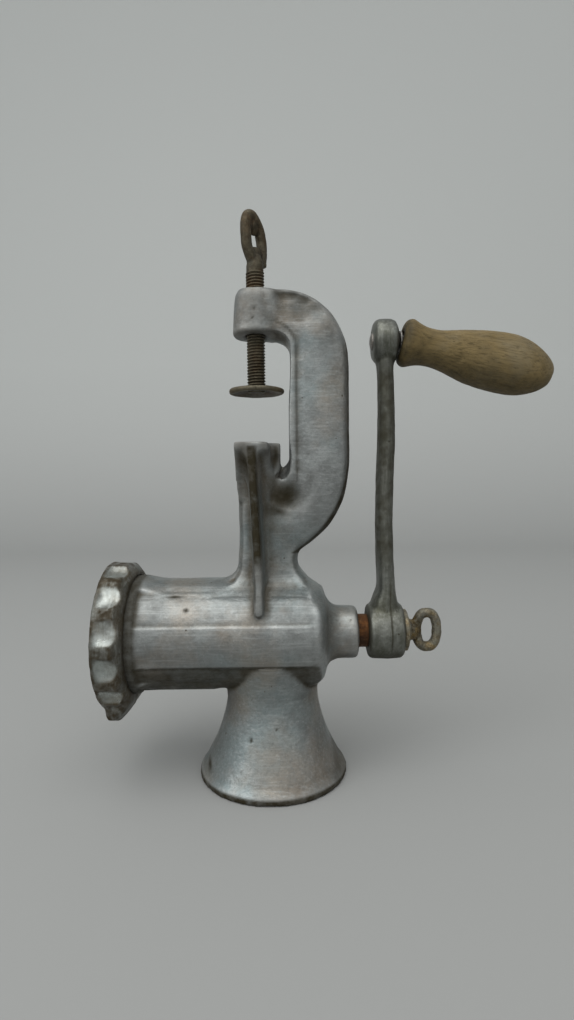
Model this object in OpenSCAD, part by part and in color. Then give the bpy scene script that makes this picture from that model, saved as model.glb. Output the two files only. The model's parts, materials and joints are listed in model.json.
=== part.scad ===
// Hand meat grinder, standing on the mouth of its hopper with the clamp upwards.
// X runs along the barrel towards the crank, Z is up, and the origin is the
// centre of the hopper's mouth. Millimetres throughout.

/* [Hopper] */
// Outer radius of the hopper at its mouth
hopper_mouth_r = 38; // [35:0.5:42]
// Outer radius of the hopper at its neck
hopper_neck_r = 23.3; // [22:0.1:24.5]
// Height of the narrowest part of the neck above the mouth
hopper_neck_z = 44; // [41:0.5:47]
// Thickness of the hopper's wall
hopper_wall = 3; // [2.4:0.1:3.6]

/* [Barrel] */
// Height of the barrel's axis above the hopper's mouth
barrel_z = 72.3; // [70:0.1:76]
// Radius of the bore that holds the feed screw
bore_r = 24; // [22.5:0.1:24.5]
// Thickness of the barrel's wall
barrel_wall = 4.9; // [4.4:0.1:5.6]
// Distance from the hopper's axis to the front end of the barrel
barrel_front = 79; // [74:0.5:84]
// Distance from the hopper's axis to the rear end of the barrel
barrel_rear = 24.5; // [24:0.1:27]
// Thickness of the wall that closes the barrel's rear end
rear_wall = 4.5; // [4:0.1:6]
// Height of the step between the barrel's panels
panel_step = 1.1; // [0.6:0.1:1.4]
// Length of the rear bearing boss
boss_len = 20; // [16:0.5:24]
// Radius of the rear bearing boss
boss_r = 13.7; // [12.5:0.1:15]

/* [Plate and ring nut] */
// Radius of the hole plate
plate_r = 27; // [26.2:0.1:27.4]
// Thickness of the hole plate
plate_t = 6; // [5:0.5:7]
// How far the plate stands out of its seat
plate_proud = 2; // [1.5:0.1:2.5]
// Diameter of the plate's holes
plate_hole_d = 4.5; // [3.5:0.1:5]
// Radius of the key pin
key_r = 1.5; // [1.2:0.1:1.8]
// Outer radius of the ring nut
ring_r = 36.8; // [35.5:0.1:38]
// Length of the ring nut
ring_len = 17; // [15:0.5:18]
// Thickness of the ring nut's lip in front of the plate
ring_lip = 3; // [2:0.1:4]
// Number of scallops around the ring nut
scallops = 18; // [12:1:20]
// How far the lug stands out of the ring nut
lug_reach = 7.8; // [5:0.1:10]

/* [Feed screw and knife] */
// Radius of the feed screw's flight
flight_r = 23.3; // [21.5:0.1:23.7]
// Radius of the feed screw's core at its rear end
core_r = 9.5; // [9:0.1:11]
// Pitch of the flight under the hopper
pitch_rear = 34; // [28:1:38]
// Pitch of the flight behind the knife
pitch_front = 22; // [18:1:26]
// Radius of the shaft
shaft_r = 8.5; // [8:0.1:9]
// Thickness of the knife's hub
knife_t = 7; // [6:0.5:8]
// Reach of the knife's blades
knife_r = 22.4; // [20:0.1:23]
// Width across the flats of the square that drives the knife
knife_square = 9; // [8:0.1:10]
// Thickness of the thrust washer
thrust_t = 1.5; // [1:0.1:2]

/* [Crank] */
// Gap between the rear boss and the crank's hub
hub_gap = 4.9; // [2:0.1:8]
// Length of the crank's hub
hub_len = 18.2; // [15:0.1:20]
// Radius of the crank's hub
hub_r = 15.2; // [14:0.1:16.5]
// Width across the flats of the square end of the shaft
tang_square = 11.6; // [10:0.1:11.8]
// Distance from the shaft's axis to the spindle
arm_len = 148.3; // [130:0.1:165]
// Thickness of the crank arm
arm_t = 8.4; // [7:0.1:10]
// Width of the crank arm at its hub
arm_w_hub = 17; // [14:0.5:20]
// Width of the crank arm at its head
arm_w_head = 13; // [11:0.5:16]
// Radius of the crank's head
head_r = 11.5; // [10:0.1:13]
// Length of the crank's head
head_len = 14.4; // [12:0.1:16]
// Radius of the grip's spindle
spindle_r = 3.5; // [3:0.1:4]
// Droop of the bent spindle below level
spindle_droop = 12; // [0:1:14]
// Length of the wooden grip
grip_len = 79.4; // [70:0.1:90]
// Largest radius of the wooden grip
grip_r = 15.2; // [13.5:0.1:17]
// Thickness of the washer under the thumb screw
washer_t = 2.6; // [1.5:0.1:3.5]
// Radius of the washer under the thumb screw
washer_r = 11; // [9.5:0.1:13]
// Radius of the thumb screw's shank
thumb_r = 4; // [3.5:0.1:4.4]
// Height of the thumb screw's eye
thumb_eye_h = 22.6; // [19:0.1:25]
// Width of the thumb screw's eye
thumb_eye_w = 14.7; // [13:0.1:16]
// Thickness of the thumb screw's eye
thumb_eye_t = 4.6; // [4:0.1:5.2]

/* [Clamp] */
// Height of the jaw above the hopper's mouth
jaw_z = 169.1; // [163:0.1:175]
// Left edge of the jaw
jaw_left = -16.4; // [-18:0.1:-15.5]
// Length of the jaw's wings along the barrel
wing_len = 18; // [15:0.1:20]
// Half the width of the jaw across the barrel
wing_half = 21; // [17:0.5:25]
// Height of the frame's opening above the jaw
frame_gap = 56.4; // [50:0.1:62]
// Height of the frame's top arm
frame_arm_h = 22.9; // [20:0.1:26]
// Inner edge of the frame's upright
frame_inner = 10.1; // [9.5:0.1:12]
// Width of the frame's upright
frame_w = 30.9; // [28:0.1:32]
// Half the greatest thickness of the frame
frame_half_t = 9.5; // [8.5:0.1:11]
// Radius of the frame's outer top corner
frame_corner_r = 34; // [32.5:0.5:36]
// Distance from the hopper's axis to the clamp screw, towards the front
screw_back = 6.1; // [5.6:0.1:7]
// Radius of the clamp screw
screw_r = 5; // [4.5:0.1:5.5]
// Radius of the boss that the clamp screw runs in
screw_boss_r = 11.4; // [10.4:0.1:12.4]
// Height of the pressure disc above the jaw
disc_gap = 26.2; // [20:0.1:32]
// Radius of the pressure disc
disc_r = 13.9; // [12:0.1:15]
// Thickness of the pressure disc's rim
disc_t = 2; // [1.6:0.1:2.6]
// Height of the clamp screw's eye above the frame
eye_rise = 13; // [9:0.1:16]
// Outer height of the clamp screw's eye
eye_h = 26; // [22:0.1:30]
// Outer width of the clamp screw's eye
eye_w = 18; // [15.5:0.1:20]
// Thickness of the rod that the eye is bent from
eye_t = 5.6; // [4.8:0.1:6.2]
// Turn of the clamp screw's eye about its own axis
eye_turn = 47; // [0:1:90]

/* [Hidden] */
$fn = 64;

run_gap = 0.06;       // running clearance of a shaft in its bore
slip_gap = 0.1;       // clearance of a piece that only slides in
cut = 1;              // how far a cut runs past the face that it opens

// Places along the barrel
barrel_r = bore_r + barrel_wall;
thread_r = barrel_r + 1.1;
seat_depth = plate_t - plate_proud;
seat_r = plate_r + slip_gap;
plate_rear = -barrel_front + seat_depth;
ring_front = -barrel_front - plate_proud - ring_lip;
ring_rear = ring_front + ring_len;
ring_mouth_r = plate_r - 3.5;
bore_end = barrel_rear - rear_wall;
boss_end = barrel_rear + boss_len;
screw_front = plate_rear + knife_t;
screw_rear = bore_end - thrust_t;
hub_start = boss_end + hub_gap;
hub_end = hub_start + hub_len;
crank_x = hub_start + hub_len / 2;
tang_end = hub_end - 1;
thumb_start = hub_end + washer_t;

// Places on the clamp
screw_x = -screw_back;
window_top = jaw_z + frame_gap;
frame_top = window_top + frame_arm_h;
frame_outer = frame_inner + frame_w;
corner_x = frame_outer - frame_corner_r;
corner_z = frame_top - frame_corner_r;
bend_z = jaw_z - 7;
bend_r = 56;
bend_x = frame_outer - bend_r;
jaw_right = jaw_left + wing_len;
stem_right = frame_inner - 4.4;
pillar_half_t = 8;
pillar_left = jaw_left + 0.9;
rib_x = screw_x + 0.7;
disc_z = jaw_z + disc_gap;
head_z = barrel_z + arm_len;
head_end = crank_x + 0.9 + head_len / 2;

function arc(c, r, from, to, n) =
    [for (i = [0:n]) let (a = from + (to - from) * i / n) [c[0] + r * cos(a), c[1] + r * sin(a)]];

// Extrudes a (y, z) outline along X
module along_x(from, to) {
    translate([from, 0, 0]) rotate([90, 0, 90]) linear_extrude(to - from) children();
}

// Extrudes an (x, z) outline to both sides of the middle plane
module along_y(half) {
    rotate([90, 0, 0]) translate([0, 0, -half]) linear_extrude(2 * half) children();
}

// Revolves a (radius, x) outline about the barrel's axis
module about_barrel() {
    translate([0, 0, barrel_z]) rotate([0, 90, 0]) rotate_extrude($fn = 96) children();
}

// Cylinder on the barrel's axis between two places along X
module barrel_rod(r, from, to) {
    translate([from, 0, barrel_z]) rotate([0, 90, 0]) cylinder(r = r, h = to - from, $fn = 96);
}

module both_sides() {
    children();
    mirror([0, 1, 0]) children();
}

// Loop of round rod in the XZ plane, standing on its lower outer edge at z = 0
module rod_loop(w, h, t) {
    bend = (w - t) / 2;
    straight = h - w;
    translate([0, 0, w / 2]) {
        for (side = [-1, 1]) translate([side * bend, 0, 0]) cylinder(d = t, h = straight, $fn = 32);
        rotate([90, 180, 0]) rotate_extrude(angle = 180, $fn = 48) translate([bend, 0]) circle(d = t, $fn = 32);
        translate([0, 0, straight]) rotate([90, 0, 0]) rotate_extrude(angle = 180, $fn = 48)
            translate([bend, 0]) circle(d = t, $fn = 32);
    }
}

// Body casting

function hopper_outline(inset) = concat(
    [[hopper_mouth_r - inset, 0], [hopper_mouth_r - inset, 2]],
    [for (i = [1:8]) let (u = i / 8, k = (1 - u) * (1 - u) * (1 + 0.35 * u))
        [hopper_neck_r + (hopper_mouth_r - 0.4 - hopper_neck_r) * k - inset,
         2 + (hopper_neck_z - 2) * u]]);

module hopper_outside() {
    flare = bore_r + 3 - hopper_neck_r;
    rotate_extrude($fn = 96) polygon(concat([[0, 0]], hopper_outline(0),
        [[hopper_neck_r + 0.25 * flare, hopper_neck_z + 6], [hopper_neck_r + flare, hopper_neck_z + 18],
         [0, hopper_neck_z + 18]]));
}

module hopper_inside() {
    rotate_extrude($fn = 96) polygon(concat([[0, -cut], [hopper_mouth_r - hopper_wall, -cut]],
        hopper_outline(hopper_wall), [[hopper_neck_r - hopper_wall, barrel_z], [0, barrel_z]]));
}

module wedge(from, to) {
    reach = 2 * barrel_r;
    polygon([[0, 0], reach * [cos(from), sin(from)], reach * [cos(to), sin(to)]]);
}

// Cross-section of the barrel, with its flank panels standing proud
module barrel_section() {
    circle(r = barrel_r - panel_step, $fn = 96);
    for (side = [0, 1]) mirror([side, 0]) {
        intersection() {
            circle(r = barrel_r, $fn = 96);
            wedge(-21, 19);
        }
        intersection() {
            circle(r = barrel_r - panel_step / 2, $fn = 96);
            wedge(19, 47);
        }
    }
}

module barrel_outside() {
    translate([0, 0, barrel_z]) along_x(ring_rear - 1, barrel_rear - 2) barrel_section();
    about_barrel() polygon([[0, -barrel_front], [thread_r - 1, -barrel_front],
        [thread_r, -barrel_front + 1], [thread_r, ring_rear], [thread_r + 0.5, ring_rear + 1],
        [thread_r + 0.3, ring_rear + 3], [barrel_r - panel_step, ring_rear + 14], [0, ring_rear + 14]]);
    about_barrel() polygon([[0, barrel_rear - 6], [barrel_r - 0.4, barrel_rear - 6],
        [barrel_r - 0.4, barrel_rear - 1], [barrel_r - 1.4, barrel_rear], [barrel_r - 4.5, barrel_rear + 1.8],
        [boss_r + 4.4, barrel_rear + 3.6], [boss_r + 1.6, barrel_rear + 5.6], [boss_r, barrel_rear + 9],
        [boss_r, boss_end - 2], [boss_r - 0.6, boss_end - 0.6], [boss_r - 2, boss_end], [0, boss_end]]);
}

module barrel_inside() {
    barrel_rod(bore_r, plate_rear - cut, bore_end);
    barrel_rod(seat_r, -barrel_front - cut, plate_rear);
    barrel_rod(shaft_r + run_gap, bore_end - cut, boss_end + cut);
    for (a = [45:90:315]) translate([0, 0, barrel_z]) rotate([a, 0, 0])
        translate([plate_rear - cut, -2, bore_r - 1]) cube([40, 4, 1.8]);
}

module key_hole() {
    translate([-barrel_front + key_r + 0.6, 0, barrel_z]) cylinder(r = key_r, h = thread_r + cut);
}

// Cross-section of the frame: x runs outwards from its inner edge
module frame_section() {
    face_r = 32;
    end_r = frame_half_t - 0.5;
    intersection() {
        translate([frame_w / 2, frame_half_t - face_r]) circle(r = face_r, $fn = 96);
        translate([frame_w / 2, face_r - frame_half_t]) circle(r = face_r, $fn = 96);
        union() {
            translate([0, -frame_half_t]) square([frame_w - end_r, 2 * frame_half_t]);
            translate([frame_w - end_r, 0]) circle(r = end_r);
        }
    }
}

// Opening of the frame above the jaw, grown by a margin
module window_outline(grow) {
    inner_r = 8.9 - grow;
    left = jaw_left - 30;
    translate([left, jaw_z]) square([frame_inner + grow - inner_r - left, window_top + grow - jaw_z]);
    translate([left, jaw_z]) square([frame_inner + grow - left, window_top + grow - inner_r - jaw_z]);
    translate([frame_inner + grow - inner_r, window_top + grow - inner_r]) circle(r = inner_r);
}

module frame() {
    difference() {
        union() {
            translate([frame_inner, 0, bend_z]) linear_extrude(corner_z - bend_z) frame_section();
            translate([corner_x, 0, corner_z]) rotate([90, 0, 0]) rotate_extrude(angle = 90, $fn = 96)
                translate([frame_inner - corner_x, 0]) frame_section();
            translate([screw_x, 0, corner_z]) along_arm(corner_x - screw_x);
        }
        along_y(frame_half_t + cut) window_outline(0);
        both_sides() arm_dish();
    }
    frame_lip();
}

module along_arm(length) {
    rotate([90, 0, 90]) linear_extrude(length) rotate(90) translate([frame_inner - corner_x, 0]) frame_section();
}

// Hollow in each side of the top arm
module arm_dish() {
    dish_r = 10;
    z = window_top + frame_arm_h / 2 - 0.6;
    y = -(dish_r + 4.6);
    translate([screw_x, y, z]) rotate([0, 90, 0]) cylinder(r = dish_r, h = corner_x + 8 - screw_x);
    translate([corner_x + 8, y, z]) sphere(r = dish_r);
}

// Raised lip along the inner edge of the frame
module frame_lip() {
    lip_w = 3.3;
    along_y(frame_half_t - 1.9) intersection() {
        difference() {
            window_outline(lip_w);
            window_outline(0);
        }
        translate([screw_x, jaw_z]) square([frame_w, frame_gap + lip_w + cut]);
    }
}

module frame_bend() {
    sweep = 58;
    translate([bend_x, 0, bend_z]) rotate([90, 0, 0]) rotate(-sweep) rotate_extrude(angle = sweep, $fn = 96)
        translate([frame_inner - bend_x, 0]) frame_section();
}

// Outline of the pillar under the jaw in the XZ plane, drawn in by an inset
module pillar_outline(inset) {
    foot_z = barrel_z + barrel_r - panel_step;
    foot_r = 9;
    neck = [bend_x + 37.5, foot_z + 10.6];
    polygon(concat(
        [[jaw_left + inset, jaw_z], [pillar_left + inset, jaw_z - 36]],
        arc([pillar_left - foot_r, foot_z + foot_r], foot_r + inset, 0, -80, 8),
        [[pillar_left - foot_r, barrel_z + 12], [barrel_rear - 2, barrel_z + 12],
         [barrel_rear - 1 - inset, foot_z - 3], [barrel_rear - 4.5 - inset, foot_z - inset / 2]],
        arc(neck, foot_r + inset, 232, 142, 8),
        arc([bend_x, bend_z], bend_r - 16, -50, 0, 6),
        [[stem_right, bend_z], [stem_right, jaw_z]]));
}

// Cross-section of the pillar in the YZ plane: a fillet spreads it onto the barrel's back
module pillar_profile() {
    spread_r = 14;
    reach = barrel_r - panel_step - 0.4 + spread_r;
    mid_y = pillar_half_t + spread_r;
    rise = sqrt(reach * reach - mid_y * mid_y);
    for (side = [0, 1]) mirror([side, 0]) polygon(concat([[0, barrel_z + 12], [mid_y / 2, barrel_z + 12]],
        arc([mid_y, barrel_z + rise], spread_r, 180 + atan2(rise, mid_y), 180, 8),
        [[pillar_half_t, jaw_z], [0, jaw_z]]));
}

module jaw_wings() {
    drop = 29;
    edge_t = 4;
    reach = wing_half - pillar_half_t + 0.3;
    hollow_r = (pow(drop - edge_t, 2) + pow(reach, 2)) / (2 * reach);
    along_x(jaw_left, jaw_right) difference() {
        translate([-wing_half, jaw_z - drop]) square([2 * wing_half, drop]);
        for (side = [-1, 1])
            translate([side * (wing_half - reach + hollow_r), jaw_z - drop]) circle(r = hollow_r, $fn = 96);
    }
}

// Stem of the jaw, behind the wings
module jaw_stem() {
    half = 9;
    translate([jaw_left + 2, -half, jaw_z - 14]) cube([stem_right - jaw_left - 2, 2 * half, 14]);
}

// Rib down the front and back of the pillar, from the wing to the barrel's flank
module ribs() {
    low_z = barrel_z + 16;
    low_y = barrel_r - 1.6;
    rib_w = 4;
    along_x(rib_x - rib_w / 2, rib_x + rib_w / 2) for (side = [0, 1]) mirror([side, 0]) polygon([[0, low_z],
        [low_y, low_z], [low_y - 0.6, low_z + 8], [low_y - 3.2, low_z + 34],
        [wing_half + 0.4, jaw_z - 10], [wing_half - 0.4, jaw_z - 3], [0, jaw_z - 3]]);
    translate([rib_x, 0, low_z]) rotate([90, 0, 0]) cylinder(r = rib_w / 2 + 0.3, h = 2 * low_y, center = true);
}

module notch() {
    mid = (stem_right + frame_inner) / 2;
    half = (frame_inner - stem_right) / 2;
    along_y(frame_half_t + 4) {
        translate([stem_right, jaw_z - 11]) square([2 * half, 11 + cut]);
        translate([mid, jaw_z - 11]) circle(r = half, $fn = 32);
    }
}

// Scooped hollow below the notch on each side
module scoop() {
    ball_r = 18;
    translate([stem_right + 2, -(ball_r + 2), jaw_z - 19.5]) sphere(r = ball_r, $fn = 96);
}

module screw_boss() {
    low = window_top - 1.8;
    translate([screw_x, 0, 0]) rotate_extrude($fn = 96) polygon(concat([[0, low], [screw_boss_r - 1, low],
        [screw_boss_r, low + 1]], arc([screw_boss_r - 3, frame_top - 3], 3, 0, 90, 6), [[0, frame_top]]));
}

// Pillar and frame, with the notch and the hollows that are cut into them
module clamp_body() {
    difference() {
        union() {
            frame();
            frame_bend();
            intersection() {
                along_y(30) pillar_outline(2.2);
                along_x(jaw_left - 20, barrel_rear) pillar_profile();
            }
            along_y(pillar_half_t - 2.4) pillar_outline(0);
            jaw_stem();
        }
        notch();
        both_sides() scoop();
    }
    jaw_wings();
    ribs();
    screw_boss();
}

module body_casting() color("silver") {
    difference() {
        union() {
            hopper_outside();
            barrel_outside();
            clamp_body();
        }
        hopper_inside();
        barrel_inside();
        key_hole();
        translate([screw_x, 0, window_top - 4]) cylinder(r = screw_r + run_gap, h = frame_arm_h + 8);
    }
}

// Plate, its key pin and the ring nut

module plate_key_pin() color("dimgray") {
    translate([-barrel_front + key_r + 0.6, 0, barrel_z + plate_r - 2]) cylinder(r = key_r, h = thread_r - plate_r + 2);
}

module hole_plate() color("lightslategray") {
    difference() {
        barrel_rod(plate_r, plate_rear - plate_t, plate_rear);
        barrel_rod(knife_square / 2 - 0.4 + run_gap, plate_rear - plate_t - cut, plate_rear + cut);
        for (row = [1:3]) {
            row_r = 3.2 + row * 5.9;
            count = 6 * row + 1;
            for (i = [0:count - 1]) translate([plate_rear - plate_t - cut, 0, barrel_z])
                rotate([i * 360 / count, 0, 0]) translate([0, 0, row_r]) rotate([0, 90, 0])
                    cylinder(d = plate_hole_d, h = plate_t + 2 * cut, $fn = 20);
        }
        translate([plate_rear - plate_t - cut, -key_r - slip_gap, barrel_z + plate_r - 2 - slip_gap])
            cube([plate_t + 2 * cut, 2 * (key_r + slip_gap), 2 + cut]);
    }
}

module ring_lug() {
    turn = 20;
    tip_r = ring_r + lug_reach;
    base = barrel_r;
    front = ring_front + 0.8;
    translate([0, 0, barrel_z]) rotate([-turn, 0, 0]) intersection() {
        along_y(7) polygon(concat([[ring_rear - 0.5, -base], [front, -base], [front + 0.6, -ring_r - 1]],
            arc([front + 4.2, -tip_r + 2.6], 2.6, 180, 270, 5), arc([ring_rear - 7.4, -tip_r + 2.6], 2.6, 270, 345, 5)));
        along_x(ring_front, ring_rear) polygon(concat([[7, -base], [7, -ring_r + 4]],
            arc([2.4, -tip_r + 2.6], 2.6, 0, -90, 5), arc([-2.4, -tip_r + 2.6], 2.6, 270, 180, 5),
            [[-7, -ring_r + 4], [-7, -base]]));
    }
}

module ring_scallops() {
    scallop_r = 4.3;
    depth = 2;
    for (i = [0:scallops - 1]) translate([0, 0, barrel_z]) rotate([-13.4 - 90 + i * 360 / scallops, 0, 0])
        translate([ring_rear - 6 - scallop_r, 0, -(ring_r + scallop_r - depth)]) {
            sphere(r = scallop_r, $fn = 32);
            rotate([0, -90, 0]) cylinder(r = scallop_r, h = ring_len, $fn = 32);
        }
}

module ring_nut() color("lightsteelblue") {
    difference() {
        union() {
            difference() {
                about_barrel() polygon([[ring_mouth_r, ring_front], [ring_r - 1.4, ring_front],
                    [ring_r, ring_front + 1.4], [ring_r, ring_rear - 5], [ring_r - 3.6, ring_rear],
                    [ring_mouth_r, ring_rear]]);
                ring_scallops();
            }
            ring_lug();
        }
        barrel_rod(thread_r + slip_gap, ring_front + ring_lip, ring_rear + cut);
        barrel_rod(ring_mouth_r, ring_front - cut, ring_rear);
    }
}

// Feed screw, knife and washer

module tang(square_w, from, to) {
    translate([from, -square_w / 2, barrel_z - square_w / 2]) cube([to - from, square_w, square_w]);
}

// Turn of the flight at a share u of the way from the rear end: the pitch closes up towards the front
function flight_turn(u) = let (l = screw_rear - screw_front)
    360 * l / (pitch_front - pitch_rear) * ln(1 + u * (pitch_front - pitch_rear) / pitch_rear);
// Outline of one ring: angle from the middle of the flight, and share of the flight's height
flight_shape = [[-17, 1], [-6, 1], [6, 1], [17, 1], [23, 0.82], [30, 0.45], [42, 0.15], [60, 0], [90, 0],
    [125, 0], [160, 0], [200, 0], [235, 0], [270, 0], [300, 0], [318, 0.15], [330, 0.45], [337, 0.82]];
flight_rings = 108;

function flight_point(u, s) = let (
        grow = min(1, u / 0.07),
        core = core_r + 1.5 * u,
        r = core + (flight_r - core) * s[1] * grow,
        a = flight_turn(u) + s[0],
        x = screw_rear - u * (screw_rear - screw_front))
    [x, r * sin(a), barrel_z + r * cos(a)];

module flight() {
    n = len(flight_shape);
    points = [for (i = [0:flight_rings]) for (s = flight_shape) flight_point(i / flight_rings, s)];
    skin = [for (i = [0:flight_rings - 1]) for (j = [0:n - 1]) let (k = (j + 1) % n)
        each [[i * n + j, (i + 1) * n + k, i * n + k], [i * n + j, (i + 1) * n + j, (i + 1) * n + k]]];
    polyhedron(points, concat(skin, [[for (j = [0:n - 1]) j]],
        [[for (j = [n - 1:-1:0]) flight_rings * n + j]]), convexity = 10);
}

module feed_screw() color("sienna") {
    difference() {
        union() {
            flight();
            barrel_rod(shaft_r, screw_rear - 4, hub_start);
            tang(tang_square, hub_start - 1, tang_end);
        }
        barrel_rod(thumb_r + run_gap, hub_start - 5, tang_end + cut);
        barrel_rod(knife_square / 2 - 1, screw_front - cut, screw_front + 12);
    }
}

module knife_stud() color("gray") {
    barrel_rod(knife_square / 2 - 1, screw_front, screw_front + 11.5);
    tang(knife_square, plate_rear + 0.05, screw_front);
    barrel_rod(knife_square / 2 - 0.4, plate_rear - plate_t + 0.6, plate_rear + 0.05);
}

module cutter_knife() color("slategray") {
    face = plate_rear + 0.05;
    difference() {
        union() {
            barrel_rod(8.5, face, screw_front);
            for (a = [0:90:270]) translate([0, 0, barrel_z]) rotate([a, 0, 0]) along_x(face, face + knife_t - 2.4)
                intersection() {
                    difference() {
                        translate([0, -4.2]) square([knife_r, 9.4]);
                        translate([knife_r * 0.6, -20.2]) circle(r = 18, $fn = 64);
                    }
                    circle(r = knife_r, $fn = 64);
                }
        }
        tang(knife_square + slip_gap, face - cut, screw_front + cut);
    }
}

module thrust_washer() color("peru") {
    difference() {
        barrel_rod(13, screw_rear, bore_end);
        barrel_rod(shaft_r + slip_gap, screw_rear - cut, bore_end + cut);
    }
}

// Crank, grip and thumb screw

// Half outline of the crank's head: a drum with well rounded ends
module head_outline() {
    half = head_len / 2;
    polygon([[0, -half], [head_r - 5, -half], [head_r - 2.7, -half + 1], [head_r - 0.8, -half + 3.2],
        [head_r, -1], [head_r, 1], [head_r - 0.8, half - 3.2], [head_r - 2.7, half - 1], [head_r - 5, half],
        [0, half]]);
}

module crank_arm() color("silver") {
    ridge = 0.4;
    difference() {
        union() {
            about_barrel() polygon([[0, hub_start], [hub_r - 1.8, hub_start], [hub_r - 0.5, hub_start + 1.4],
                [hub_r, crank_x - 0.6], [hub_r + ridge, crank_x], [hub_r, crank_x + 0.6],
                [hub_r - 0.5, hub_end - 1.4], [hub_r - 1.8, hub_end], [0, hub_end]]);
            translate([crank_x - arm_t / 2 + 0.9, 0, 0]) along_x(0, arm_t) polygon([[-arm_w_hub / 2, barrel_z + 8],
                [arm_w_hub / 2, barrel_z + 8], [arm_w_head / 2, head_z - 6], [-arm_w_head / 2, head_z - 6]]);
            translate([head_end - head_len / 2, 0, head_z]) rotate([0, 90, 0]) rotate_extrude() head_outline();
        }
        tang(tang_square + slip_gap, hub_start - cut, hub_end + cut);
        translate([head_end - head_len - cut, 0, head_z]) rotate([0, 90, 0])
            cylinder(r = spindle_tail_r, h = head_len + 2 * cut);
    }
}

// Moves a piece drawn along +X onto the spindle's bent axis, from the face of the crank's head
module on_spindle() {
    translate([head_end, 0, head_z]) rotate([0, spindle_droop, 0]) children();
}

grip_start = 1.6;                  // gap between the crank's head and the grip, along the spindle
spindle_tail_r = spindle_r - 0.7;  // riveted tail of the spindle, in the crank's head
collar_r = spindle_r + 1.6;        // collar of the spindle, against the crank's head
collar_t = 1.2;
end_head_t = 3;                    // head on the spindle's free end, sunk in the grip's end
end_head_r = 5;

module grip_spindle() color("dimgray") {
    rivet_t = 1.4;
    translate([head_end - head_len - rivet_t, 0, head_z]) rotate([0, 90, 0]) rotate_extrude()
        polygon([[0, 0], [2.4, 0.2], [3.9, 1], [4.2, rivet_t], [spindle_tail_r, rivet_t],
            [spindle_tail_r, head_len + rivet_t], [collar_r, head_len + rivet_t],
            [collar_r, head_len + rivet_t + collar_t], [0, head_len + rivet_t + collar_t]]);
    on_spindle() {
        translate([collar_t * 0.75, 0, 0]) rotate([0, 90, 0])
            cylinder(r = spindle_r, h = grip_start + grip_len - 2 - collar_t * 0.75);
        translate([grip_start + grip_len - end_head_t, 0, 0]) rotate([0, 90, 0]) rotate_extrude()
            polygon([[0, 0], [end_head_r, 0], [end_head_r, 1.2], [end_head_r - 1, 2.6], [2, 3.6], [0, 3.9]]);
    }
}

// Profile of the grip as shares of its length and of its greatest radius
grip_shape = [[0, 0.6], [0.02, 0.72], [0.045, 0.8], [0.07, 0.77], [0.1, 0.72], [0.14, 0.63], [0.19, 0.605],
    [0.24, 0.61], [0.3, 0.67], [0.38, 0.78], [0.46, 0.88], [0.54, 0.95], [0.62, 0.995], [0.68, 1],
    [0.74, 0.985], [0.8, 0.93], [0.86, 0.82], [0.91, 0.69], [0.95, 0.56], [0.98, 0.44], [1, 0.34]];

module wooden_grip() color("burlywood") {
    hole_r = spindle_r + run_gap;
    on_spindle() translate([grip_start, 0, 0]) rotate([0, 90, 0]) rotate_extrude($fn = 96) difference() {
        polygon(concat([[0, 0]], [for (p = grip_shape) [p[1] * grip_r, p[0] * grip_len]], [[0, grip_len]]));
        translate([-1, -cut]) square([hole_r + 1, grip_len + 2 * cut]);
        translate([-1, grip_len - end_head_t - run_gap]) square([end_head_r + run_gap + 1, end_head_t + cut]);
        translate([-1, -cut]) square([collar_r + 0.5 + 1, cut + collar_t + 0.4]);
    }
}

module thumb_washer() color("darkkhaki") {
    difference() {
        barrel_rod(washer_r, hub_end, thumb_start);
        barrel_rod(thumb_r + run_gap, hub_end - cut, thumb_start + cut);
    }
}

module thumb_screw() color("tan") {
    neck = 4;
    barrel_rod(thumb_r, hub_start - 4, thumb_start + 0.5);
    about_barrel() polygon([[0, thumb_start], [6.2, thumb_start], [6.2, thumb_start + 1.2],
        [4.6, thumb_start + neck], [0, thumb_start + neck]]);
    translate([thumb_start + neck - 1 + thumb_eye_w / 2, 0, barrel_z - thumb_eye_h / 2])
        rod_loop(thumb_eye_w, thumb_eye_h, thumb_eye_t);
}

// Clamp screw and pressure disc

rivet_r = 3;          // pin at the screw's lower end that carries the disc

module clamp_screw() color("saddlebrown") {
    eye_low = frame_top + eye_rise;
    translate([screw_x, 0, 0]) {
        translate([0, 0, disc_z + disc_t]) cylinder(r = screw_r, h = eye_low + 2.6 - disc_z - disc_t);
        translate([0, 0, disc_z + 0.6]) cylinder(r = rivet_r, h = disc_t);
        translate([0, 0, disc_z + 0.2]) cylinder(r = rivet_r + 1.4, h = 0.7);
        translate([0, 0, eye_low]) rotate(eye_turn) rod_loop(eye_w, eye_h, eye_t);
    }
}

module pressure_disc() color("sienna") {
    translate([screw_x, 0, disc_z]) rotate_extrude($fn = 96) polygon([[rivet_r + run_gap, 0.9], [5.5, 0.9],
        [disc_r - 2.4, 0], [disc_r - 0.4, 0], [disc_r, 0.4], [disc_r, disc_t - 0.5], [disc_r - 0.6, disc_t],
        [8, disc_t], [rivet_r + run_gap, disc_t]]);
}

body_casting();
plate_key_pin();
hole_plate();
ring_nut();
feed_screw();
knife_stud();
cutter_knife();
thrust_washer();
crank_arm();
grip_spindle();
wooden_grip();
thumb_washer();
thumb_screw();
clamp_screw();
pressure_disc();
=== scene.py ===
import json
import math
import bmesh
import bpy
import numpy as np
from mathutils import Matrix, Vector, noise


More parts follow.
